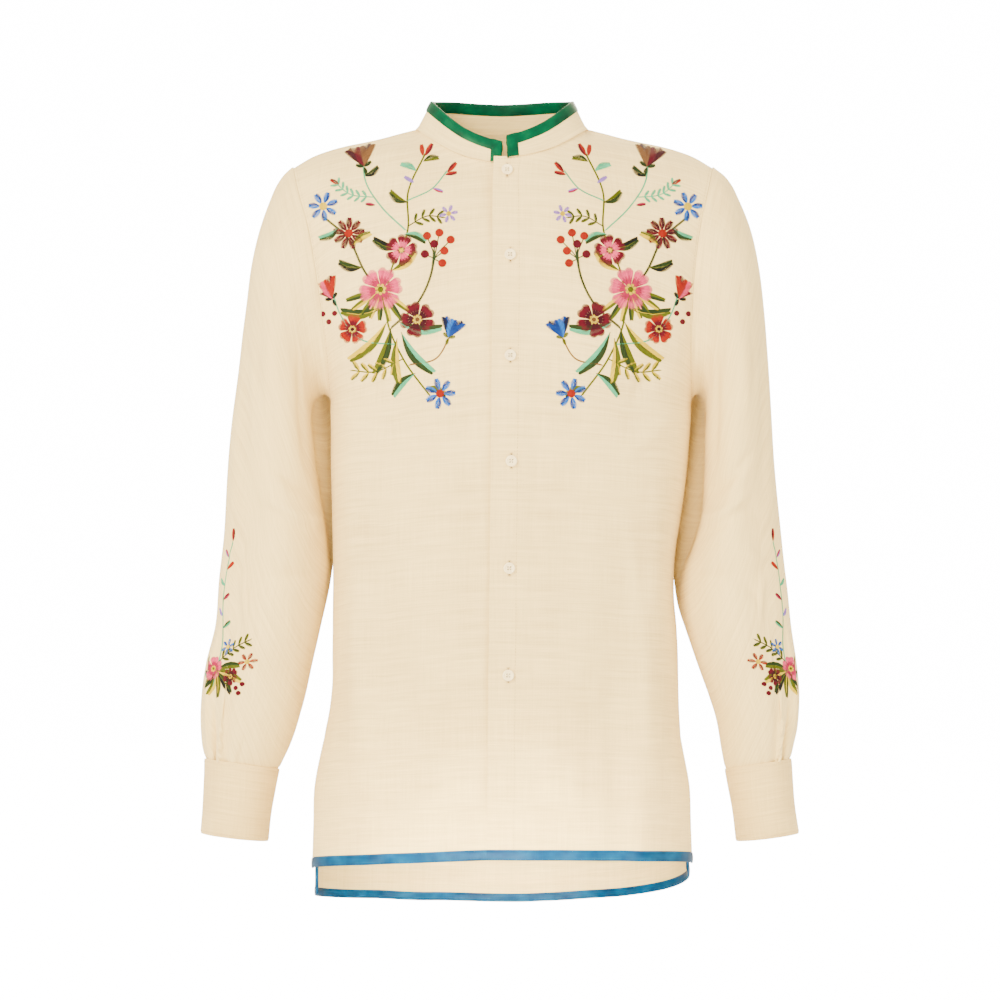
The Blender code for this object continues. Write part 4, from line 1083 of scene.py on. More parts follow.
# Creases of the sleeves: from (angle, height) to (angle, height), bow, half width, height of the ridge. An
# angle counts from the outer line towards the front, and a degree is about as long as DEGREE on the cloth.
DEGREE = 0.85
SLEEVE_CREASES = (
    (150, -300, 60, -338, 10, 9, -2.2),
    (165, -330, 78, -372, 8, 8, 2.0),
    (140, -372, 50, -398, -8, 9, -1.8),
    (120, -405, 36, -430, 8, 8, 1.6),
    (158, -420, 84, -470, -8, 9, -1.8),
    (40, -440, 96, -488, 8, 9, 1.4),
    (24, -240, 50, -400, 6, 9, -1.4),
    (92, -190, 74, -300, -6, 10, 1.4),
    (118, -170, 132, -290, 6, 9, -1.6),
    (60, -500, 84, -590, 4, 8, -1.2),
    (20, -480, 30, -600, -4, 8, 1.2),
    (-150, -300, -60, -340, -10, 9, -2.2),
    (-165, -335, -80, -376, -8, 8, 2.0),
    (-140, -380, -52, -404, 8, 9, -1.8),
    (-118, -410, -40, -436, -8, 8, 1.5),
    (-156, -430, -86, -474, 8, 9, -1.7),
    (-30, -230, -46, -390, -6, 9, -1.3),
    (-92, -200, -78, -310, 6, 10, 1.3),
    (-64, -500, -80, -590, -4, 8, -1.2),
    (-24, -470, -34, -600, 4, 8, 1.2),
)
SLEEVE_FADE_TOP = (4, 46)
SLEEVE_FADE_CUFF = (0, 14)
SLEEVE_UNEVENNESS_SHIFT = 50

# Pleats at the cuffs, each a fold laid over the cloth beside it: angle at the cuff, how far it leans over
# its length, width, depth, length as a share of the longest one
PLEATS = (
    (62, 14, 9, 5.6, 0.8),
    (44, 2, 9, 3.4, 1.0),
    (-38, -4, 9, 2.0, 0.9),
    (-64, -8, 9, 4.5, 0.7),
    (112, 4, 8, 1.2, 0.5),
)
PLEAT_LENGTH = 90

# Across a pleat, from its folded edge: where the fold rises and falls off, where the groove and the slide
# have their middle, and how wide those two are
FOLD_RISES_TO = -1
FOLD_GONE_AT = 2
FOLD_SHARE = 0.6
GROOVE = 2.5
GROOVE_WIDTH = 3.2
SLIDE = -0.8
SLIDE_WIDTH = 2.2
SLIDE_SHARE = 0.7
PLEAT_FADE = (0.15, 1)

# A sleeve's end dips towards the seam and runs a little way on inside the cuff
SLEEVE_CELL = 2.9
CUFF_SEAM = 2.0
SEAM_DIP = 0.6
SEAM_DIP_REACH = 5


def pleat_folds(turn, from_cuff):
    """How far the pleats lift the cloth and slide it round, so that each fold lies over a groove."""
    lift, slide = 0 * turn, 0 * turn
    for angle, lean, width, depth, length in PLEATS:
        share = from_cuff / (PLEAT_LENGTH * length)
        across = turn - angle * DEGREE - lean * share
        groove = np.exp(-(((across - GROOVE) / GROOVE_WIDTH) ** 2))
        fall = 1 - ease(across, FOLD_RISES_TO, FOLD_GONE_AT)
        fold = FOLD_SHARE * ease(across, -width, FOLD_RISES_TO) * fall - groove
        fade = 1 - ease(share, *PLEAT_FADE)
        lift = lift + depth * fold * fade
        slide = slide + SLIDE_SHARE * depth * np.exp(-(((across - SLIDE) / SLIDE_WIDTH) ** 2)) * fade
    return lift, slide


def armhole_ring(side):
    """The seam line of an armhole all round, and the directions in which the panels' cloth runs out there."""
    halves = []
    edge, beside = (0, 1) if side == RIGHT else (-1, -2)
    rows = slice(-ROWS_ARMHOLE - 1, None)
    for name, at, near in (("front_" + SIDE_NAMES[side], -1, -2), ("back", edge, beside)):
        points, normals = panels[name]
        halves.append([points[rows, at], normals[rows, at], points[rows, at] - points[rows, near]])
    front, back = halves
    ring, normals, outward = (np.vstack([front[part][::-1], back[part][1:-1]]) for part in range(3))
    for place in (0, ROWS_ARMHOLE):
        ring[place, 1] = 0
        normals[place] = no_lean(normals[place], 1)
        outward[place, 1] = 0
    outward = outward - (outward * normals).sum(axis=1, keepdims=True) * normals
    along = unit(np.roll(ring, -1, axis=0) - np.roll(ring, 1, axis=0))
    return ring, unit(outward - (outward * along).sum(axis=1, keepdims=True) * along)


for side in (RIGHT, LEFT):
    name = "sleeve_" + SIDE_NAMES[side]
    points, *places = finer(sleeve(side, *armhole_ring(side)), SLEEVE_CELL, around=True)
    normals = grid_normals(points, side, around=True)
    turn = np.interp(np.arange(points.shape[1]), places[1], np.arange(COLUMNS_AROUND_SLEEVE + 1))
    turn = turn * 360 / COLUMNS_AROUND_SLEEVE
    turn = np.where(turn > 180, turn - 360, turn) * DEGREE + 0 * points[..., 0]
    height = points[..., 2].mean(axis=1, keepdims=True) + 0 * turn
    from_top = flat_places(points, around=True)[:, :-1, 1]
    from_cuff = from_top[-1:] - from_top
    creases = [(a1 * DEGREE, b1, a2 * DEGREE, b2, *rest) for a1, b1, a2, b2, *rest in SLEEVE_CREASES]
    lift = crease_lift(turn, height, creases) + unevenness(turn + SLEEVE_UNEVENNESS_SHIFT * side, height)
    lift = lift * ease(from_top, *SLEEVE_FADE_TOP) * ease(from_cuff, *SLEEVE_FADE_CUFF)
    pleat_lift, pleat_slide = pleat_folds(turn, from_cuff)
    lift = lift + pleat_lift - SEAM_DIP * (1 - ease(from_cuff, 0, SEAM_DIP_REACH))
    around = unit(np.roll(points, -1, axis=1) - np.roll(points, 1, axis=1))
    points = points + normals * lift[..., None] + around * pleat_slide[..., None]
    normals = grid_normals(points, side, around=True)
    points[-1] += unit(points[-1] - points[-2]) * CUFF_SEAM - normals[-1] * CUFF_SEAM / 4
    dress(name, points, normals, places, THIN, linen, around=True)


# Cuffs: bands of doubled linen with rounded edges, which lap over themselves behind the outer side and are
# closed there with one button. Their sections have the sleeves' columns.
CUFF_THICKNESS = 1.7
CUFF_CELL = 2.6
CUFF_UNEVENNESS = 0.6
EDGE_ROUND = 2.2
EDGE_DROP = 0.45
CUFF_COLUMN_NAMES = "outer_z outer_right outer_left inner_z inner_right inner_left front back rise"
CUFF_SECTIONS = table(CUFF_COLUMN_NAMES, (
    (-621.3, 297.5, 289.5, -631.8, 222.5, 222.5, 49.6, 28.6, 0.07),
    (-645, 298, 291, -654.5, 227, 227, 50.4, 27.5, 0.06),
    (-670, 299.5, 293, -679, 231, 231, 51.2, 26.4, 0.055),
    (-695.5, 301.5, 297, -703.8, 233.5, 233.5, 52, 25.2, 0.05),
))
CUFF_START_ANGLE = -72
CUFF_TURN = 384
CUFF_COLUMNS = 25
CUFF_LAP = 2.7
CUFF_LAP_TURNS = (324, 357)


def cuff(side):
    """Outer points of a cuff: rows from the sleeve down, columns from one end to the other."""
    turned = np.linspace(0, CUFF_TURN, CUFF_COLUMNS)
    angles = np.radians(CUFF_START_ANGLE + turned)
    lap = CUFF_LAP * ease(turned, *CUFF_LAP_TURNS)
    rows = []
    for row in range(len(CUFF_SECTIONS["front"])):
        section = oval(section_at(CUFF_SECTIONS, row), side, angles)
        middle = oval(section_at(CUFF_SECTIONS, row), side, np.radians([0.0, 180.0])).mean(axis=0)
        rows.append(section + unit(section - middle) * lap[:, None])
    return np.array(rows)


def rounded_edges(points, normals, sewn_end=False):
    """The grid eased down towards its edges, as doubled cloth is over a fold; a sewn last row stays up."""
    edges = [points[:1], points[:, :1], points[:, -1:]] + ([] if sewn_end else [points[-1:]])
    from_edge = np.min([np.linalg.norm(points - edge, axis=-1) for edge in edges], axis=0)
    return points - normals * (EDGE_DROP * (1 - ease(from_edge, 0, EDGE_ROUND)))[..., None]


for side in (RIGHT, LEFT):
    points, *places = finer(cuff(side), CUFF_CELL)
    normals = grid_normals(points, side)
    flat = flat_places(points)
    bumps = CUFF_UNEVENNESS * unevenness(flat[..., 0] * 1.4 + 20 * side, flat[..., 1] * 1.6)
    points = rounded_edges(points + normals * bumps[..., None], normals)
    normals = grid_normals(points, side)
    # The cuffs take the darker copy of the linen, which is painted shade.
    dress("cuff_" + SIDE_NAMES[side], points, normals, places, CUFF_THICKNESS, cuff_linen_painted_shade, flat)

# Sleeve plackets: a narrow strip of linen over the slit above each cuff, on the side of the cuff's lap. It
# takes its place from the sleeve's fine grid, moved out.
PLACKET_COLUMNS = (19, 21)
PLACKET_FIRST_SECTION = 15
PLACKET_CLOTH = 1.0
PLACKET_CELL = 2.0

for side in (RIGHT, LEFT):
    name = SIDE_NAMES[side]
    sleeve_grid = fine["sleeve_" + name]
    first_row = sleeve_grid["rows"][PLACKET_FIRST_SECTION]
    first_column, last_column = sleeve_grid["columns"][list(PLACKET_COLUMNS)]
    part = (slice(first_row, None), slice(first_column, last_column + 1))
    points = sleeve_grid["points"][part] + sleeve_grid["normals"][part] * (SEAM_GAP + PLACKET_CLOTH)
    points, *places = finer(points, PLACKET_CELL)
    points = rounded_edges(points, grid_normals(points, side), sewn_end=True)
    dress("sleeve_placket_" + name, points, grid_normals(points, side), places, PLACKET_CLOTH, linen)

# Collar: a standing band of doubled linen, sewn to the neckline, whose ends meet at the middle of the front.
# The table gives its height and inward lean at angles from there round to the middle of the back.
COLLAR_THICKNESS = 1.4
COLLAR_CELL = 2.4
COLLAR_SEAM = 2.4
COLLAR_UNEVENNESS = 0.5
COLLAR = table("angle height lean", (
    (0, 19, 0.34),
    (45, 24.2, 0.42),
    (90, 26, 0.5),
    (130, 28.6, 0.38),
    (155, 28.1, 0.26),
    (180, 27.4, 0.22),
    (205, 28.1, 0.26),
))


def collar(necklines):
    """Outer points of the collar: rows up, columns from the right end round to the left."""
    base = np.vstack([
        necklines["front_right"][1:-1],
        (necklines["front_right"][-1:] + necklines["back"][:1]) / 2,
        necklines["back"][1:-1],
        (necklines["front_left"][-1:] + necklines["back"][-1:]) / 2,
        necklines["front_left"][-2:0:-1],
    ])
    radial = unit(base * np.array([1, 1, 0]))
    angle = np.degrees(np.arctan2(np.abs(base[:, 0]), -base[:, 1]))
    height = smooth(angle, COLLAR["angle"], COLLAR["height"])
    lean = smooth(angle, COLLAR["angle"], COLLAR["lean"])
    rise = unit(np.array([0, 0, 1]) - radial * lean[:, None])
    rows = [base + rise * SEAM_GAP]
    up = height[:, None] * np.array([0, 0, 1]) - radial * (height * lean)[:, None]
    for share in (1 / 3, 2 / 3, 1):
        rows.append(base + up * share)
    rows[2] = rows[3] - rise * BINDING_WIDTH
    rows[1] = (rows[0] + rows[2]) / 2
    points = np.array(rows)
    for end, step in ((0, 1), (-1, -1)):
        across = unit(points[:, end + step] - points[:, end])
        points[:, end + step] = points[:, end] + across * BINDING_WIDTH
    return points


front_neck = slice(0, COLUMNS_NECK + 1)
back_neck = slice(COLUMNS_SHOULDER, COLUMNS_SHOULDER + 2 * COLUMNS_NECK + 1)
necklines = {
    "front_right": panels["front_right"][0][-1, front_neck],
    "front_left": panels["front_left"][0][-1, front_neck],
    "back": panels["back"][0][-1, back_neck],
}
points, *places = finer(collar(necklines), COLLAR_CELL)
normals = grid_normals(points, 1)
flat = flat_places(points)
points = points + normals * (COLLAR_UNEVENNESS * unevenness(flat[..., 0], flat[..., 1] * 1.5))[..., None]
points[0] -= unit(points[1] - points[0]) * COLLAR_SEAM + normals[0] * COLLAR_SEAM / 2
dress("collar", points, normals, places, COLLAR_THICKNESS, linen, flat)


# Bindings: strips of satin cut on the bias and folded over an edge, green on the collar and blue on the
# hems. Each stands out from the cloth by its reach, a little less where it is sewn down along its inner edge.
SATIN_THICKNESS = 0.5
SATIN_REACH = 1.15
SATIN_PUFF = 0.25
SATIN_SEWN_DOWN = 0.35
SATIN_SEWN_SHARE = 0.15
BACK_RIPPLE_SHIFT = 50
MITRE = 1.4
FLAT_STEPS = 6
ROUND_STEPS = 5


def distances(line):
    """How far along a line each of its points is."""
    return np.concatenate([[0], np.cumsum(np.linalg.norm(np.diff(line, axis=0), axis=-1))])


def satin_ripple(along, across):
    """The low slanting ripples of a bias strip that was eased on by hand."""
    return (
        0.13 * np.sin(along / 3.1 + 2.4 * across) * (0.5 + 0.5 * np.sin(along / 17 + 1))
        + 0.10 * np.sin(along / 7.7 - 1.7 * across + 2.0 * np.sin(along / 41))
    )


def binding(name, grid, cloth, path, material):
    """A satin strip folded over an edge: the path lists grid places on it, each with the one a strip in."""
    points, normals = grid["points"], grid["normals"]
    edges = np.array([points[edge] for edge, within in path])
    withins = np.array([points[within] for edge, within in path])
    edge_normals = np.array([normals[edge] for edge, within in path])
    within_normals = np.array([normals[within] for edge, within in path])
    along = distances(edges)
    out = unit(edges - withins)
    mitred = np.array([edge[0] != within[0] and edge[1] != within[1] for edge, within in path])
    rings, directions, widths = [], [], []

    def lay_flat(share, face, base, ripple_from, width):
        normal = unit(within_normals + (edge_normals - within_normals) * share)
        swell = math.sin(math.pi * share)
        puff = SATIN_PUFF * swell + satin_ripple(along + ripple_from, share) * swell**0.5
        sewn_down = SATIN_SEWN_DOWN * (1 - ease(share, 0, SATIN_SEWN_SHARE))
        rise = (base + SATIN_REACH - sewn_down - SATIN_PUFF + puff)[:, None]
        rings.append(withins + (edges - withins) * share + face * normal * rise)
        directions.append(face * normal)
        widths.append(width)

    shares = np.linspace(0, 1, FLAT_STEPS)
    for share in shares:
        lay_flat(share, 1, 0, 0, share * BINDING_WIDTH)
    middle = edges - edge_normals * cloth / 2
    radius = cloth / 2 + SATIN_REACH - SATIN_PUFF
    corner = np.where(mitred, MITRE, 1.0)[:, None]
    for turn in np.linspace(math.pi / 2, -math.pi / 2, ROUND_STEPS + 2)[1:-1]:
        direction = edge_normals * math.sin(turn) + out * math.cos(turn) * corner
        rings.append(middle + direction * radius)
        directions.append(direction)
        widths.append(BINDING_WIDTH + radius * (math.pi / 2 - turn))
    for share in shares[::-1]:
        width = 2 * BINDING_WIDTH + math.pi * radius - share * BINDING_WIDTH
        lay_flat(share, -1, cloth, BACK_RIPPLE_SHIFT, width)
    outer = np.array(rings).swapaxes(0, 1)
    direction = np.array(directions).swapaxes(0, 1)
    flat = np.stack(np.broadcast_arrays(along[:, None], np.array(widths)[None, :]), axis=-1)
    piece = cloth_piece(name + "_satin", outer, direction, SATIN_THICKNESS, flat, material)
    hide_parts(name)
    return piece


# Satin's noise along and across the strip: soft patches of painted sheen and shade, which swing its colour
# between a dark and a light tone and also raise a low relief, and fine threads that are a small share as high
# as the patches
SATIN_SHADER = {"Roughness": 0.42, "Specular IOR Level": 0.06}
SHEEN_AND_RIPPLE_CLOUDS = (42, 60, 1)
PAINTED_SHEEN_RANGE = (0.3, 0.7)
FINE_THREADS = (2600, 260, 1)
THREAD_HEIGHT = 0.12
SATIN_BUMP = 0.3
SATIN_DEPTH = 0.0006


def satin_material(name, dark, light):
    """Satin: a smooth face with fine threads across the strip, and soft patches of painted sheen and shade in
    its colour.
    """
    material, tree, shader = new_material(name, SATIN_SHADER)
    flat = flat_uv(tree)
    sheen_and_ripple_clouds, threads = (stretched_noise(tree, flat, scale) for scale in (SHEEN_AND_RIPPLE_CLOUDS, FINE_THREADS))
    share = tree.nodes.new("ShaderNodeMapRange")
    share.inputs["From Min"].default_value, share.inputs["From Max"].default_value = PAINTED_SHEEN_RANGE
    link(tree, sheen_and_ripple_clouds, share.inputs["Value"])
    link(tree, between_tones(tree, share.outputs[0], dark, light), shader.inputs["Base Color"])
    height = calculate(tree, "MULTIPLY_ADD", threads, THREAD_HEIGHT, sheen_and_ripple_clouds)
    raise_bumps(tree, shader, height, SATIN_BUMP, SATIN_DEPTH)
    return material


# The dark and light tone of each satin are painted shade and painted sheen on one evenly dyed satin.
green_satin = satin_material("emerald_satin", (0.0, 0.028, 0.015), (0.0, 0.075, 0.034))
blue_satin = satin_material("turquoise_satin", (0.0, 0.026, 0.085), (0.0, 0.064, 0.175))

grid = fine["collar"]
top, last = grid["points"].shape[0] - 1, grid["points"].shape[1] - 1
down = top - grid["rows"][2]
first_in, last_in = grid["columns"][1], last - grid["columns"][-2]
path = [((row, 0), (min(row, top - down), first_in)) for row in range(top + 1)]
path += [((top, column), (top - down, min(max(column, first_in), last - last_in)))
         for column in range(1, last + 1)]
path += [((row, last), (min(row, top - down), last - last_in)) for row in range(top - 1, -1, -1)]
collar_binding = binding("collar_binding", grid, COLLAR_THICKNESS, path, green_satin)

for name in ("front_right", "front_left"):
    grid = fine[name]
    strip = grid["rows"][1]
    path = [((0, column), (strip, column)) for column in range(grid["points"].shape[1])]
    binding("hem_binding_" + name, grid, THIN, path, blue_satin)

grid = fine["back"]
last = grid["points"].shape[1] - 1
strip = grid["rows"][1]
top = grid["rows"][vent_rows() - 1]
from_side = np.linalg.norm(grid["points"][strip, :20] - grid["points"][strip, 0], axis=-1)
first_in = int(np.argmin(np.abs(from_side - BINDING_WIDTH)))
path = [((row, 0), (max(row, strip), first_in)) for row in range(top, 0, -1)]
path += [((0, column), (strip, min(max(column, first_in), last - first_in))) for column in range(last + 1)]
path += [((row, last), (max(row, strip), last - first_in)) for row in range(1, top + 1)]
binding("hem_binding_back", grid, THIN, path, blue_satin)


# Embroidery: satin-stitch flowers of a general folk kind, sewn by hand in many thread colours. A sketch is a
# list of stitches in flat millimetres (across, up), each with its colour, width and height; it is then laid
# on the cloth.
THREAD = 0.85
THREAD_RISE = 0.42
STEM_STEP = 1.1
EYE_KNOTS = 7
THREADS = {
    "crimson": (0.075, 0.0018, 0.010),
    "maroon": (0.030, 0.002, 0.007),
    "pink": (0.52, 0.050, 0.135),
    "rose": (0.26, 0.008, 0.050),
    "coral": (0.23, 0.010, 0.003),
    "sky": (0.010, 0.11, 0.46),
    "blue": (0.002, 0.028, 0.19),
    "navy": (0.004, 0.006, 0.032),
    "mint": (0.05, 0.30, 0.17),
    "olive": (0.060, 0.075, 0.003),
    "leaf": (0.012, 0.026, 0.006),
    "ink": (0.004, 0.006, 0.005),
    "yellow": (0.50, 0.36, 0.006),
    "lilac": (0.19, 0.11, 0.42),
    "tan": (0.12, 0.055, 0.020),
}


def toward(angle):
    """The flat direction at an angle in degrees, 0 to the right and 90 up."""
    return np.array([math.cos(math.radians(angle)), math.sin(math.radians(angle))])


def curve_through(places, step):
    """Points on a smooth curve through a few places, about a step apart."""
    places = np.array(places, dtype=float)
    knots = distances(places)
    at = np.linspace(0, knots[-1], max(2, int(round(knots[-1] / step)) + 1))
    return along_curve(places[:, None, :], knots, at)[:, 0]


def stitch(sketch, places, colour, width=THREAD, height=0.0):
    """One thread through two or more flat places."""
    sketch.append((np.array(places, dtype=float), THREADS[colour], width, height))


def stem(sketch, places, colour, width=3.2):
    """A stem in rows of short slanting stitches."""
    line = curve_through(places, STEM_STEP)
    for first, last in zip(line[:-1], line[1:]):
        slant = unit(last - first)
        aside = np.array([-slant[1], slant[0]]) * width / 2.6
        stitch(sketch, (first - slant - aside, last + slant + aside), colour)


def leaf(sketch, base, tip, width, colours, bow=0.0, height=0.05):
    """A leaf in two halves of slanting stitches, one tone each, with a rib if a third colour is given."""
    base, tip = np.array(base, dtype=float), np.array(tip, dtype=float)
    length = np.linalg.norm(tip - base)
    along = (tip - base) / length
    aside = np.array([-along[1], along[0]])

    def spine(share):
        return base + (tip - base) * share + aside * bow * math.sin(math.pi * share)

    count = max(4, int(length / (THREAD * 1.15)))
    for number in range(count):
        share = (number + 0.5) / count
        reach = min(1.0, share + 0.16)
        half = width / 2 * math.sin(math.pi * min(0.98, share * 0.9 + 0.08)) ** 0.75
        for turned, colour in ((1, colours[0]), (-1, colours[1])):
            start = spine(share * 0.92) - aside * turned * THREAD * 0.3
            stitch(sketch, (start, spine(reach) + aside * turned * half), colour, height=height)
    if len(colours) > 2:
        rib = [spine(share) for share in (0, 0.3, 0.6, 0.85)]
        stitch(sketch, rib, colours[2], height=height + 0.25)


def petal(sketch, centre, angle, length, width, colours, inner=0.18, height=0.1):
    """A petal in a fan of long and short stitches: the rim in one colour and the heart in the other."""
    centre = np.array(centre, dtype=float)
    half_turn = math.degrees(math.atan2(width / 2, length * 0.72))
    count = max(5, int(width / (THREAD * 0.82)))
    for number in range(count):
        across = (number + 0.5) / count * 2 - 1
        direction = toward(angle + across * half_turn)
        rim = length * (1 - 0.20 * across**4 - 0.10 * math.exp(-((across / 0.25) ** 2)))
        short = 0.10 * (number % 2)
        outer_reaches = (length * (0.40 + short), rim * 0.72, rim)
        stitch(sketch, [centre + direction * reach for reach in outer_reaches], colours[0], height=height)
        if number % 3 != 1:
            inner_reaches = (length * inner, length * (0.52 + short))
            stitch(sketch, [centre + direction * reach for reach in inner_reaches], colours[1],
                   height=height + 0.22)


def berry(sketch, centre, radius, colour, height=0.1):
    """A round berry or a knot, in stitches side by side that rise in the middle."""
    centre = np.array(centre, dtype=float)
    count = max(2, int(round(2 * radius / (THREAD * 0.8))))
    for number in range(count):
        across = (number + 0.5) / count * 2 - 1
        half = radius * math.sqrt(1 - across**2)
        middle = centre + np.array([across * radius, 0])
        stitch(sketch, (middle - (0, half), middle, middle + (0, half)), colour,
               height=height + 0.35 * (1 - across**2))


def flower(sketch, centre, radius, petals, colours, turned=0.0):
    """A round flower: petals, a darker heart, then a ring of knots about a middle knot."""
    rim, heart, eye = colours[:3]
    for number in range(petals):
        angle = turned + number * 360 / petals
        petal(sketch, centre, angle, radius, radius * 4.5 / petals, (rim, heart),
              height=0.1 + 0.12 * (number % 2))
    centre = np.array(centre, dtype=float)
    for number in range(EYE_KNOTS):
        knot = centre + toward(number * 360 / EYE_KNOTS + turned) * radius * 0.19
        berry(sketch, knot, radius * 0.07, eye, height=0.45)
    berry(sketch, centre, radius * 0.12, colours[-1], height=0.5)


def daisy(sketch, centre, radius, petals, colours, turned=0.0):
    """A daisy: narrow separate petals about a round eye."""
    centre = np.array(centre)
    for number in range(petals):
        out = toward(turned + number * 360 / petals) * radius
        leaf(sketch, centre + out * 0.2, centre + out, radius * 0.42, colours[:2], height=0.12)
    berry(sketch, centre, radius * 0.26, colours[2], height=0.35)


def tulip(sketch, base, angle, size, colours, calyx="leaf"):
    """A cup flower seen from the side: two outer petals, one in front, and a small calyx."""
    base = np.array(base, dtype=float)
    for turned, number in ((28, 0), (-28, 0), (0, 1)):
        colour = (colours[number], colours[2])
        tip = base + toward(angle + turned) * size * (1 - 0.1 * number)
        leaf(sketch, base, tip, size * 0.5, colour, bow=-turned * size / 220, height=0.15 + 0.15 * number)
    for turned in (62, -62, 180):
        tip = base + toward(angle + turned) * size * 0.32
        leaf(sketch, base, tip, size * 0.16, (calyx, calyx), height=0.3)


def bud(sketch, base, angle, size, colours):
    """A closed bud: one small leaf shape in two tones on a short neck."""
    base = np.array(base, dtype=float)
    leaf(sketch, base, base + toward(angle) * size, size * 0.36, colours, height=0.1)


def sprig(sketch, places, colour, leaf_colours, size):
    """A thin stem with pairs of leaves along it."""
    stem(sketch, places, colour, 1.3)
    line = curve_through(places, size * 0.8)
    for number in range(1, len(line) - 1):
        heading = math.degrees(math.atan2(*(line[number + 1] - line[number - 1])[::-1]))
        for turned in (48, -48):
            tip = line[number] + toward(heading + turned) * size
            leaf(sketch, line[number], tip, size * 0.36, leaf_colours)


def chest_spray():
    """The spray of one chest: a bowed main stem, one large bloom low down, and smaller ones on branches."""
    sketch = []
    main_stem = ((-70, -262), (-96, -226), (-112, -186), (-108, -140), (-92, -100), (-92, -62), (-76, -22))
    stem(sketch, main_stem, "olive", 2.4)
    stem(sketch, ((-110, -170), (-134, -140), (-150, -108), (-176, -84)), "leaf")
    stem(sketch, ((-108, -196), (-82, -172), (-68, -140), (-66, -120)), "leaf")
    stem(sketch, ((-104, -212), (-138, -206), (-158, -182), (-166, -160)), "mint", 1.8)
    stem(sketch, ((-94, -100), (-118, -76), (-134, -50), (-138, -22)), "mint", 2.0)
    stem(sketch, ((-90, -232), (-64, -226), (-50, -204)), "tan", 1.8)
    stem(sketch, ((-92, -70), (-68, -58), (-54, -40)), "mint", 1.8)
    sprig(sketch, ((-96, -226), (-124, -238), (-148, -236)), "olive", ("olive", "yellow"), 12)
    sprig(sketch, ((-92, -96), (-72, -86), (-56, -88)), "leaf", ("leaf", "olive"), 9)
    sprig(sketch, ((-126, -66), (-150, -62), (-166, -48)), "mint", ("mint", "mint"), 8)
    for base, tip, width, colours, bow in (
        ((-112, -190), (-150, -226), 10, ("olive", "yellow", "leaf"), 5),
        ((-108, -196), (-124, -240), 10, ("leaf", "olive", "ink"), 3),
        ((-102, -206), (-100, -250), 9, ("yellow", "olive", "leaf"), -3),
        ((-98, -200), (-66, -240), 10, ("mint", "leaf", "ink"), -5),
        ((-100, -190), (-58, -196), 10, ("leaf", "mint", "ink"), -5),
        ((-118, -176), (-158, -178), 10, ("olive", "leaf", "yellow"), 5),
        ((-108, -140), (-84, -122), 9, ("olive", "yellow", "leaf"), -3),
        ((-100, -118), (-126, -108), 9, ("leaf", "ink", "olive"), 3),
        ((-96, -104), (-74, -112), 8, ("mint", "leaf"), 3),
        ((-92, -72), (-110, -60), 8, ("leaf", "olive", "ink"), 3),
        ((-136, -136), (-160, -130), 9, ("ink", "leaf", "olive"), 3),
        ((-146, -114), (-128, -102), 8, ("olive", "yellow"), 2),
        ((-84, -40), (-100, -32), 7, ("mint", "mint"), -2),
        ((-78, -30), (-62, -26), 7, ("leaf", "olive"), 2),
        ((-84, -240), (-106, -262), 9, ("mint", "leaf", "ink"), -3),
        ((-74, -254), (-54, -262), 8, ("olive", "leaf"), 2),
        ((-160, -96), (-180, -106), 8, ("leaf", "mint", "ink"), 3),
        ((-136, -44), (-122, -34), 7, ("leaf", "ink"), -2),
    ):
        leaf(sketch, base, tip, width, colours, bow)
    bloom = (-118, -158)
    for angle in (196, 214, 232, 250, 268, 286, 304, 322):
        uneven_length = 33 + 3 * math.sin(angle)
        leaf(sketch, bloom, bloom + toward(angle) * uneven_length, 5.5,
             ("yellow", "olive") if angle % 4 else ("leaf", "olive"))
    flower(sketch, bloom, 22, 6, ("pink", "rose", "yellow", "olive"), turned=12)
    flower(sketch, (-82, -188), 18, 5, ("crimson", "maroon", "yellow", "tan"), turned=40)
    flower(sketch, (-146, -196), 15, 5, ("coral", "crimson", "yellow", "maroon"), turned=10)
    flower(sketch, (-98, -120), 16.5, 5, ("crimson", "pink", "tan", "yellow"), turned=75)
    daisy(sketch, (-150, -102), 16, 9, ("maroon", "crimson", "coral"), turned=8)
    daisy(sketch, (-176, -74), 15, 7, ("sky", "blue", "yellow"), turned=20)
    daisy(sketch, (-60, -260), 15, 7, ("blue", "sky", "coral"), turned=2)
    daisy(sketch, (-52, -84), 9, 6, ("lilac", "lilac", "yellow"), turned=12)
    tulip(sketch, (-136, -34), 104, 27, ("maroon", "crimson", "tan"))
    tulip(sketch, (-166, -166), 118, 23, ("crimson", "pink", "coral"), calyx="ink")
    tulip(sketch, (-52, -206), 72, 21, ("navy", "sky", "blue"), calyx="olive")
    for base, angle, size, colours in (
        ((-76, -24), 62, 15, ("coral", "crimson")),
        ((-78, -24), 98, 13, ("coral", "coral")),
        ((-54, -42), 50, 14, ("crimson", "coral")),
        ((-56, -44), 12, 12, ("coral", "crimson")),
        ((-86, -52), 146, 12, ("lilac", "lilac")),
        ((-68, -58), -20, 11, ("lilac", "rose")),
        ((-160, -52), 150, 11, ("coral", "crimson")),
        ((-124, -74), 172, 10, ("crimson", "rose")),
    ):
        bud(sketch, base, angle, size, colours)
    for place in ((-66, -114), (-56, -121), (-75, -124), (-61, -103), (-50, -110), (-73, -106), (-58, -133)):
        stem(sketch, (place, (-66, -130), (-67, -136)), "leaf", 1.0)
        berry(sketch, place, 4.0, "coral" if place[0] % 3 else "crimson", height=0.3)
    for place in ((-170, -188), (-176, -180), (-164, -180)):
        berry(sketch, place, 2.6, "crimson", height=0.2)
    return sketch


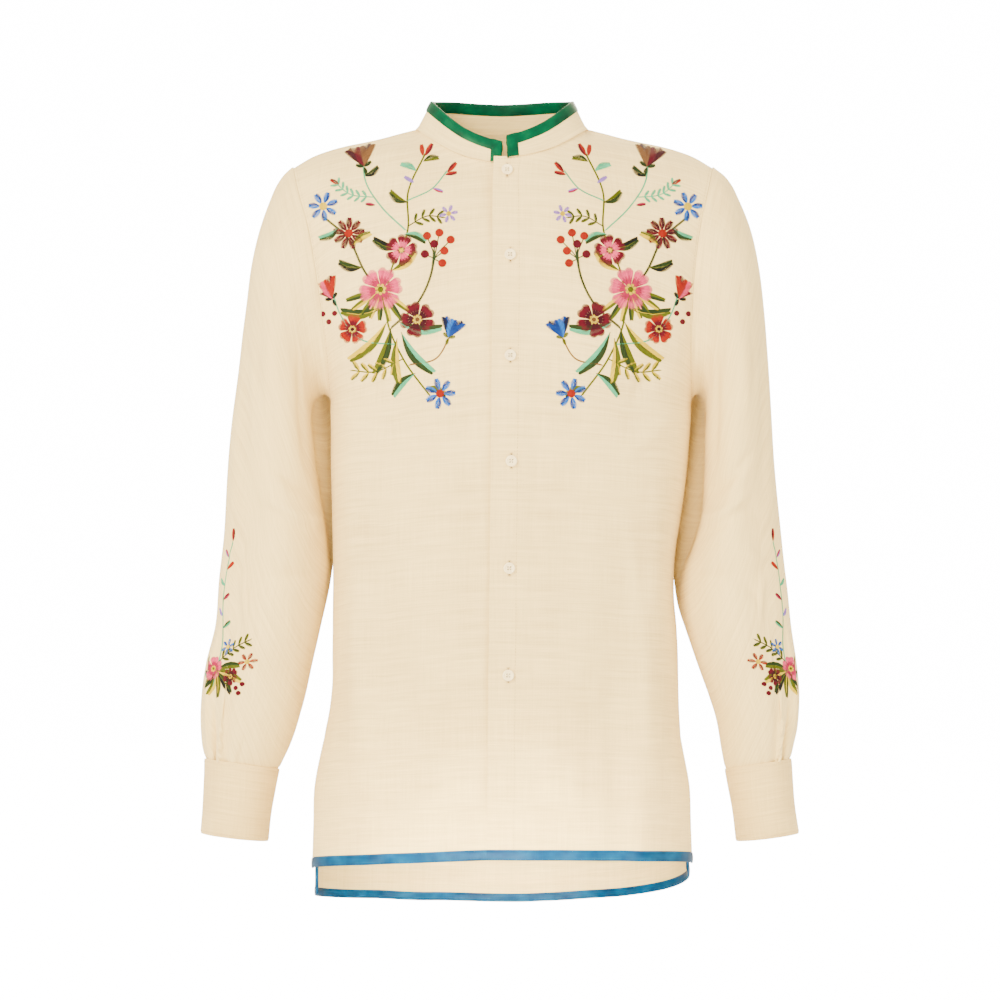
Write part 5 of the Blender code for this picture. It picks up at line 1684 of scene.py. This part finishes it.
def cuff_spray():
    """The spray above one cuff: a long thin stem of buds, with flowers and leaves at its foot."""
    sketch = []
    stem(sketch, ((-2, -548), (2, -510), (-6, -470), (-3, -430), (2, -404)), "mint", 2.0)
    for base, angle, size, colours in (
        ((2, -404), 92, 13, ("coral", "crimson")),
        ((-2, -420), 138, 11, ("lilac", "rose")),
        ((-3, -432), 40, 12, ("coral", "coral")),
        ((-5, -448), 146, 12, ("mint", "mint")),
        ((-6, -462), 36, 11, ("crimson", "rose")),
        ((-5, -478), 142, 12, ("lilac", "lilac")),
        ((-2, -490), 38, 12, ("leaf", "mint")),
    ):
        bud(sketch, base, angle, size, colours)
    sprig(sketch, ((0, -524), (20, -508), (36, -500)), "leaf", ("leaf", "olive"), 9)
    for angle, length, width, colours in (
        (150, 25, 7, ("olive", "leaf", "yellow")),
        (186, 27, 7, ("mint", "leaf")),
        (222, 26, 8, ("leaf", "olive", "ink")),
        (252, 25, 7, ("yellow", "olive")),
        (284, 27, 8, ("olive", "leaf", "yellow")),
        (316, 31, 8, ("leaf", "ink", "olive")),
        (344, 34, 8, ("olive", "yellow", "leaf")),
        (12, 30, 7, ("leaf", "olive")),
    ):
        leaf(sketch, (0, -532), (0, -532) + toward(angle) * length, width, colours, bow=2.5)
    flower(sketch, (-4, -530), 12.5, 5, ("pink", "rose", "yellow", "olive"), turned=20)
    flower(sketch, (20, -537), 9.5, 5, ("crimson", "maroon", "yellow", "tan"), turned=50)
    daisy(sketch, (36, -522), 9, 6, ("coral", "crimson", "yellow"), turned=10)
    daisy(sketch, (10, -508), 8, 6, ("sky", "blue", "yellow"), turned=25)
    for place in ((28, -548), (34, -544), (31, -553)):
        berry(sketch, place, 2.3, "crimson", height=0.3)
    return sketch


# Across a stitch: painted shade and a painted highlight in its colour, from a darkened edge over a brightened
# top to the other edge; how wide its top is, and how its edges sink into the cloth. A stitch's tone swings a
# little from its neighbours'.
COTTON_SHADER = {"Roughness": 0.6, "Specular IOR Level": 0.12}
STITCH_PAINTED_SHADE_AND_HIGHLIGHT = (0.55, 1.15, 1.0, 0.6)
STITCH_TOP = 0.45
STITCH_SINK = 0.15
TONE_LOWEST = 0.80
TONE_SWING = 0.40


def uneven(number):
    """A share from 0 to 1 that jumps about from one number to the next, and is the same on every run."""
    return math.modf(abs(math.sin(number * 12.9898) * 43758.5))[0]


def thread_material():
    """Stranded cotton: the colour of each stitch from the mesh, which carries painted shade at its edges and
    a painted highlight on its top, with a soft gloss.
    """
    material, tree, shader = new_material("embroidery_cotton", COTTON_SHADER)
    dye_and_painted_shade = tree.nodes.new("ShaderNodeAttribute")
    dye_and_painted_shade.attribute_name = "thread"
    link(tree, dye_and_painted_shade.outputs["Color"], shader.inputs["Base Color"])
    return material


cotton = thread_material()


def embroider(name, sketch, lay):
    """Sew a sketch in low rounded strips; lay gives the cloth's place and normal for a flat point."""
    vertices, faces, dyes_and_painted_shade = [], [], []
    for number, (places, colour, width, height) in enumerate(sketch):
        length = np.linalg.norm(np.diff(places, axis=0), axis=-1).sum()
        if len(places) > 2:
            line = curve_through(places, max(1.2, length / 3))
        else:
            line = np.linspace(*places, 4)
        laid = [lay(*place) for place in line]
        if any(spot is None for spot in laid):
            continue
        spots = np.array([spot for spot, normal in laid])
        normals = np.array([normal for spot, normal in laid])
        aside = unit(np.cross(normals, np.gradient(spots, axis=0)))
        inside = np.sin(np.linspace(0.12, 0.88, len(line)) * math.pi)[:, None]
        swing = TONE_LOWEST + TONE_SWING * uneven(number)
        first = len(vertices)
        edge = aside * width / 2 * (0.6 + 0.4 * inside)
        foot = normals * (height * 0.6 - STITCH_SINK)
        strip = np.stack([
            spots - edge + foot,
            spots - edge * STITCH_TOP + normals * (height + THREAD_RISE * 0.8 * inside),
            spots + edge * STITCH_TOP + normals * (height + THREAD_RISE * inside),
            spots + edge + foot,
        ], axis=1)
        vertices += strip.reshape(-1, 3).tolist()
        for place in range(len(line) - 1):
            for lane in range(3):
                low = first + place * 4 + lane
                faces.append((low, low + 4, low + 5, low + 1))
        # Each stitch's colour: its thread colour, a random swing, and painted shade darkening its edges with
        # a painted highlight along its top.
        dyes_and_painted_shade += [(*(min(1.0, part * swing * shade) for part in colour), 1.0)
                 for place in range(len(line)) for shade in STITCH_PAINTED_SHADE_AND_HIGHLIGHT]
    mesh = bpy.data.meshes.new(name)
    mesh.from_pydata((np.array(vertices) * MM).tolist(), [], faces)
    dye_and_painted_shade = mesh.attributes.new("thread", "FLOAT_COLOR", "POINT")
    dye_and_painted_shade.data.foreach_set("color", np.array(dyes_and_painted_shade).ravel())
    if np.dot(mesh.polygons[1].normal, lay(*sketch[0][0][0])[1]) < 0:
        mesh.flip_normals()
    mesh.shade_smooth()
    new_piece(name, mesh, cotton)


def cloth_tree(name):
    """A search tree over the outer side of a fine cloth grid."""
    grid = fine[name]["points"]
    rows, columns = grid.shape[:2]
    places = np.arange(rows * columns).reshape(rows, columns)
    corners = (places[:-1, :-1], places[:-1, 1:], places[1:, 1:], places[1:, :-1])
    quads = np.stack(corners, axis=-1).reshape(-1, 4)
    return BVHTree.FromPolygons(grid.reshape(-1, 3).tolist(), quads.tolist())


def cloth_behind(tree, start, direction):
    """The cloth's place behind a point in a direction, and its normal there towards the point."""
    spot, normal = tree.ray_cast(Vector(start), Vector(direction))[:2]
    if spot is None:
        return None
    return np.array(spot), np.array(normal) * (-1 if np.dot(normal, direction) > 0 else 1)


# The left spray stands a little further out, as the left front lies over the middle. The cuffs' sprays are
# laid on from an angle between the front and the outer side, from a distance outside the sleeve.
CHEST_SPRAY_SHIFT = {RIGHT: 0.0, LEFT: 7.0}
CUFF_SPRAY_VIEW = math.radians(42)
CUFF_SPRAY_DISTANCE = 150
BEFORE_SHIRT = -400

for side in (RIGHT, LEFT):
    name = SIDE_NAMES[side]
    tree = cloth_tree("front_" + name)

    def on_chest(across, up):
        """The front's place straight behind a flat point of the chest spray."""
        return cloth_behind(tree, (-side * across + CHEST_SPRAY_SHIFT[side], BEFORE_SHIRT, up), (0, 1, 0))

    embroider("embroidery_front_" + name, chest_spray(), on_chest)
    sleeve_points = fine["sleeve_" + name]["points"]
    middles = sleeve_points.mean(axis=1)
    sleeve_tree = cloth_tree("sleeve_" + name)
    outward = np.array([side * math.cos(CUFF_SPRAY_VIEW), -math.sin(CUFF_SPRAY_VIEW), 0])
    sideways = np.array([-side * math.sin(CUFF_SPRAY_VIEW), -math.cos(CUFF_SPRAY_VIEW), 0])

    def on_sleeve(across, up):
        """The sleeve's place under a flat point of the cuff spray, looked at from its outer front."""
        middle = np.array([np.interp(-up, -middles[:, 2], middles[:, part]) for part in (0, 1)] + [up])
        return cloth_behind(sleeve_tree, middle + sideways * across + outward * CUFF_SPRAY_DISTANCE, -outward)

    embroider("embroidery_sleeve_" + name, cuff_spray(), on_sleeve)


# Seams: lines of short stitches in thread of the cloth's own tone, along the edges of the cuffs and sleeve
# plackets, the foot of the collar, the front band, the sides and the tops of the panels
STITCH = 2.3
STITCH_SPACING = 3.1
SEWING_THREAD = 0.5
THREADS["linen"] = (0.60, 0.44, 0.21)
THREADS["ivory"] = (0.84, 0.70, 0.42)


def on_grid(name):
    """How to lay a point on a piece's fine grid, given its column and row, which need not be whole."""
    points, normals = fine[name]["points"], fine[name]["normals"]

    def lay(column, row):
        column = min(max(column, 0), points.shape[1] - 1.001)
        row = min(max(row, 0), points.shape[0] - 1.001)
        c, r = int(column), int(row)
        u, v = column - c, row - r
        spot, normal = (
            (part[r, c] * (1 - u) + part[r, c + 1] * u) * (1 - v)
            + (part[r + 1, c] * (1 - u) + part[r + 1, c + 1] * u) * v
            for part in (points, normals)
        )
        return spot, unit(normal)

    return lay


def stitch_line(sketch, lay, places):
    """A line of evenly spaced stitches through places on a grid."""
    places = np.array(places, dtype=float)
    knots = distances(np.array([lay(*place)[0] for place in places]))
    for start in np.arange(0.5, knots[-1] - STITCH, STITCH_SPACING):
        ends = [[np.interp(at, knots, places[:, part]) for part in (0, 1)]
                for at in (start, start + STITCH)]
        stitch(sketch, ends, "linen", SEWING_THREAD)


def inset_line(grid, edge, inset):
    """Grid places along one edge of a grid (bottom, top, first or last), a distance inside it."""
    points = grid["points"]
    rows, columns = points.shape[:2]
    turned = points if edge in ("bottom", "top") else points.swapaxes(0, 1)
    if edge in ("top", "last"):
        turned = turned[::-1]
    lengths = np.cumsum(np.linalg.norm(np.diff(turned[:40], axis=0), axis=-1), axis=0)
    depth = [float(np.interp(inset, np.concatenate([[0], lengths[:, place]]), np.arange(len(lengths) + 1)))
             for place in range(turned.shape[1])]
    if edge == "bottom":
        return list(enumerate(depth))
    if edge == "top":
        return [(column, rows - 1 - inside) for column, inside in enumerate(depth)]
    if edge == "first":
        return [(inside, row) for row, inside in enumerate(depth)]
    return [(columns - 1 - inside, row) for row, inside in enumerate(depth)]


for name, lines in (
    ("cuff_right", (("bottom", 3.0), ("top", 3.0), ("first", 3.0), ("last", 3.0))),
    ("cuff_left", (("bottom", 3.0), ("top", 3.0), ("first", 3.0), ("last", 3.0))),
    ("sleeve_placket_right", (("first", 2.2), ("last", 2.2))),
    ("sleeve_placket_left", (("first", 2.2), ("last", 2.2))),
    ("collar", (("bottom", 2.2),)),
    ("front_left", (("first", PLACKET_WIDTH), ("last", 2.6), ("top", 2.6))),
    ("front_right", (("last", 2.6), ("top", 2.6))),
    ("back", (("first", 2.6), ("last", 2.6), ("top", 2.6))),
):
    sketch = []
    for edge, inset in lines:
        stitch_line(sketch, on_grid(name), inset_line(fine[name], edge, inset))
    embroider("stitching_" + name, sketch, on_grid(name))

# Buttonholes: upright slits in the left front, bound with thread on both sides and with a bar at each end.
# They lie mostly under the buttons, whose places this table gives.
BUTTONS = table("x height", (
    (5, -40),
    (8, -125),
    (8, -223),
    (9, -325),
    (7, -429),
    (6, -533),
))
BUTTONHOLE_REACH = 7.0
BAR_SPACING = 0.5
SLIT_WIDTH = 1.1

left_tree = cloth_tree("front_left")


def on_left_front(across, up):
    """The left front's place straight behind a point seen from the front."""
    return cloth_behind(left_tree, (across, BEFORE_SHIRT, up), (0, 1, 0))


def level_stitch(sketch, x, height, reach, width, rise=0.0):
    """A level stitch of linen thread about a place, as far to each side as its reach."""
    stitch(sketch, ((x - reach, height), (x + reach, height)), "linen", width, rise)


sketch = []
for x, height in zip(BUTTONS["x"], BUTTONS["height"]):
    for edge in (-0.95, 0.95):
        for up in np.arange(-BUTTONHOLE_REACH, BUTTONHOLE_REACH, BAR_SPACING):
            level_stitch(sketch, x + edge, height + up, 0.65, 0.55)
    for up in (-BUTTONHOLE_REACH - 0.4, BUTTONHOLE_REACH + 0.4):
        for shift in (-0.3, 0.3):
            level_stitch(sketch, x, height + up + shift, 1.6, 0.5, 0.05)
    # Down the middle, a strip of near-black thread that stands for the dark opening: painted shade.
    painted_slit_shade = ((x, height - BUTTONHOLE_REACH + 0.2), (x, height + BUTTONHOLE_REACH - 0.2))
    stitch(sketch, painted_slit_shade, "ink", SLIT_WIDTH, 0.3)
embroider("buttonholes", sketch, on_left_front)

# Buttons: ivory shell with a raised rim and four holes, sewn on with a cross of thread. The rings are the
# radius and height of their turned profile, from the middle of the face round to the middle of the back.
BUTTON_RINGS = (
    (0, 1.5), (3.3, 1.5), (3.7, 1.65), (4.15, 2.15), (4.65, 2.4), (5.15, 2.3), (5.55, 1.85), (5.72, 1.3),
    (5.55, 0.75), (4.9, 0.2), (4.4, 0), (0, 0),
)
BUTTON_FACE = 1.45
BUTTON_TURNS = 36
BUTTON_EDGE_ANGLE = 50
DRILL_TURNS = 14
DRILL_LENGTH = 6
BUTTON_CLEARANCE = 0.8
HOLE_OFFSET = 1.2
HOLE_RADIUS = 0.8
CUFF_BUTTON_ANGLE = 299
SHELL_SHADER = {"Roughness": 0.28, "Specular IOR Level": 0.45, "Coat Weight": 0.25}
SHELL_STREAKS = (160, 160, 700)
SHELL_DARK = (0.80, 0.62, 0.34)
SHELL_LIGHT = (1.0, 0.90, 0.58)


def shell_material():
    """River shell: ivory with faint clouds and streaks, softly polished."""
    material, tree, shader = new_material("ivory_shell", SHELL_SHADER)
    place = tree.nodes.new("ShaderNodeTexCoord")
    streaks = stretched_noise(tree, place.outputs["Object"], SHELL_STREAKS, detail=3.0)
    link(tree, between_tones(tree, streaks, SHELL_DARK, SHELL_LIGHT), shader.inputs["Base Color"])
    return material


def button_mesh():
    """The button on its own: a turned profile with four holes cut through it."""
    work = bmesh.new()
    points = [work.verts.new((radius * MM, 0, height * MM)) for radius, height in BUTTON_RINGS]
    line = [work.edges.new(pair) for pair in zip(points[:-1], points[1:])]
    bmesh.ops.spin(work, geom=points + line, cent=(0, 0, 0), axis=(0, 0, 1), angle=2 * math.pi,
                   steps=BUTTON_TURNS, use_merge=True, use_duplicate=False)
    bmesh.ops.remove_doubles(work, verts=work.verts, dist=1e-6)
    bmesh.ops.recalc_face_normals(work, faces=work.faces)
    mesh = bpy.data.meshes.new("button_form")
    work.to_mesh(mesh)
    work.free()
    form = bpy.data.objects.new("button_form", mesh)
    bpy.context.scene.collection.objects.link(form)
    drills = bmesh.new()
    for x in (-HOLE_OFFSET, HOLE_OFFSET):
        for y in (-HOLE_OFFSET, HOLE_OFFSET):
            bmesh.ops.create_cone(drills, cap_ends=True, segments=DRILL_TURNS, radius1=HOLE_RADIUS * MM,
                                  radius2=HOLE_RADIUS * MM, depth=DRILL_LENGTH * MM,
                                  matrix=Matrix.Translation(Vector((x, y, 1)) * MM))
    drill_mesh = bpy.data.meshes.new("button_drills")
    drills.to_mesh(drill_mesh)
    drills.free()
    drill = bpy.data.objects.new("button_drills", drill_mesh)
    bpy.context.scene.collection.objects.link(drill)
    cut = form.modifiers.new("holes", "BOOLEAN")
    cut.object = drill
    cut.operation = "DIFFERENCE"
    shape = bpy.data.meshes.new_from_object(form.evaluated_get(bpy.context.evaluated_depsgraph_get()))
    for used in (form, drill):
        bpy.data.objects.remove(used)
    shape.shade_smooth()
    shape.set_sharp_from_angle(angle=math.radians(BUTTON_EDGE_ANGLE))
    return shape


shell = shell_material()
button_shape = button_mesh()
button_places = {}
for number, (x, height) in enumerate(zip(BUTTONS["x"], BUTTONS["height"]), start=1):
    button_places["button_%d" % number] = on_left_front(x, height)
for name in SIDE_NAMES.values():
    grid = fine["cuff_" + name]
    column = (CUFF_BUTTON_ANGLE - CUFF_START_ANGLE) / CUFF_TURN * (CUFF_COLUMNS - 1)
    column = np.interp(column, np.arange(CUFF_COLUMNS), grid["columns"])
    row = (grid["rows"][1] + grid["rows"][2]) / 2
    button_places["cuff_button_" + name] = on_grid("cuff_" + name)(column, row)

for name, (spot, normal) in button_places.items():
    stand = Matrix.Translation(Vector(spot + normal * BUTTON_CLEARANCE) * MM)
    stand = stand @ Vector(normal).to_track_quat("Z", "Y").to_matrix().to_4x4()
    mesh = button_shape.copy()
    mesh.name = name + "_shell"
    mesh.transform(stand)
    piece = new_piece(name + "_shell", mesh, shell)
    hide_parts(name)
    turn = np.array(stand.to_3x3())

    def on_button(across, up):
        """A place on the flat middle of this button."""
        face = spot + normal * (BUTTON_CLEARANCE + BUTTON_FACE)
        return face + turn @ np.array([across, up, 0]), normal

    sketch = []
    for shift in (-0.16, 0.16):
        for lean in (1, -1):
            start = np.array([-HOLE_OFFSET, -HOLE_OFFSET * lean]) + (shift, -shift * lean)
            end = np.array([HOLE_OFFSET, HOLE_OFFSET * lean]) + (shift, -shift * lean)
            stitch(sketch, (start, end), "ivory", 0.3, 0.12)
    # A knot of dark tan thread in each hole: thread that passes through it, and painted shade for the hole's
    # depth.
    for across in (-HOLE_OFFSET, HOLE_OFFSET):
        for up in (-HOLE_OFFSET, HOLE_OFFSET):
            stitch(sketch, ((across * 1.2, up - 0.4), (across * 1.2, up + 0.4)), "tan", 0.85, -0.2)
    embroider(name + "_thread", sketch, on_button)
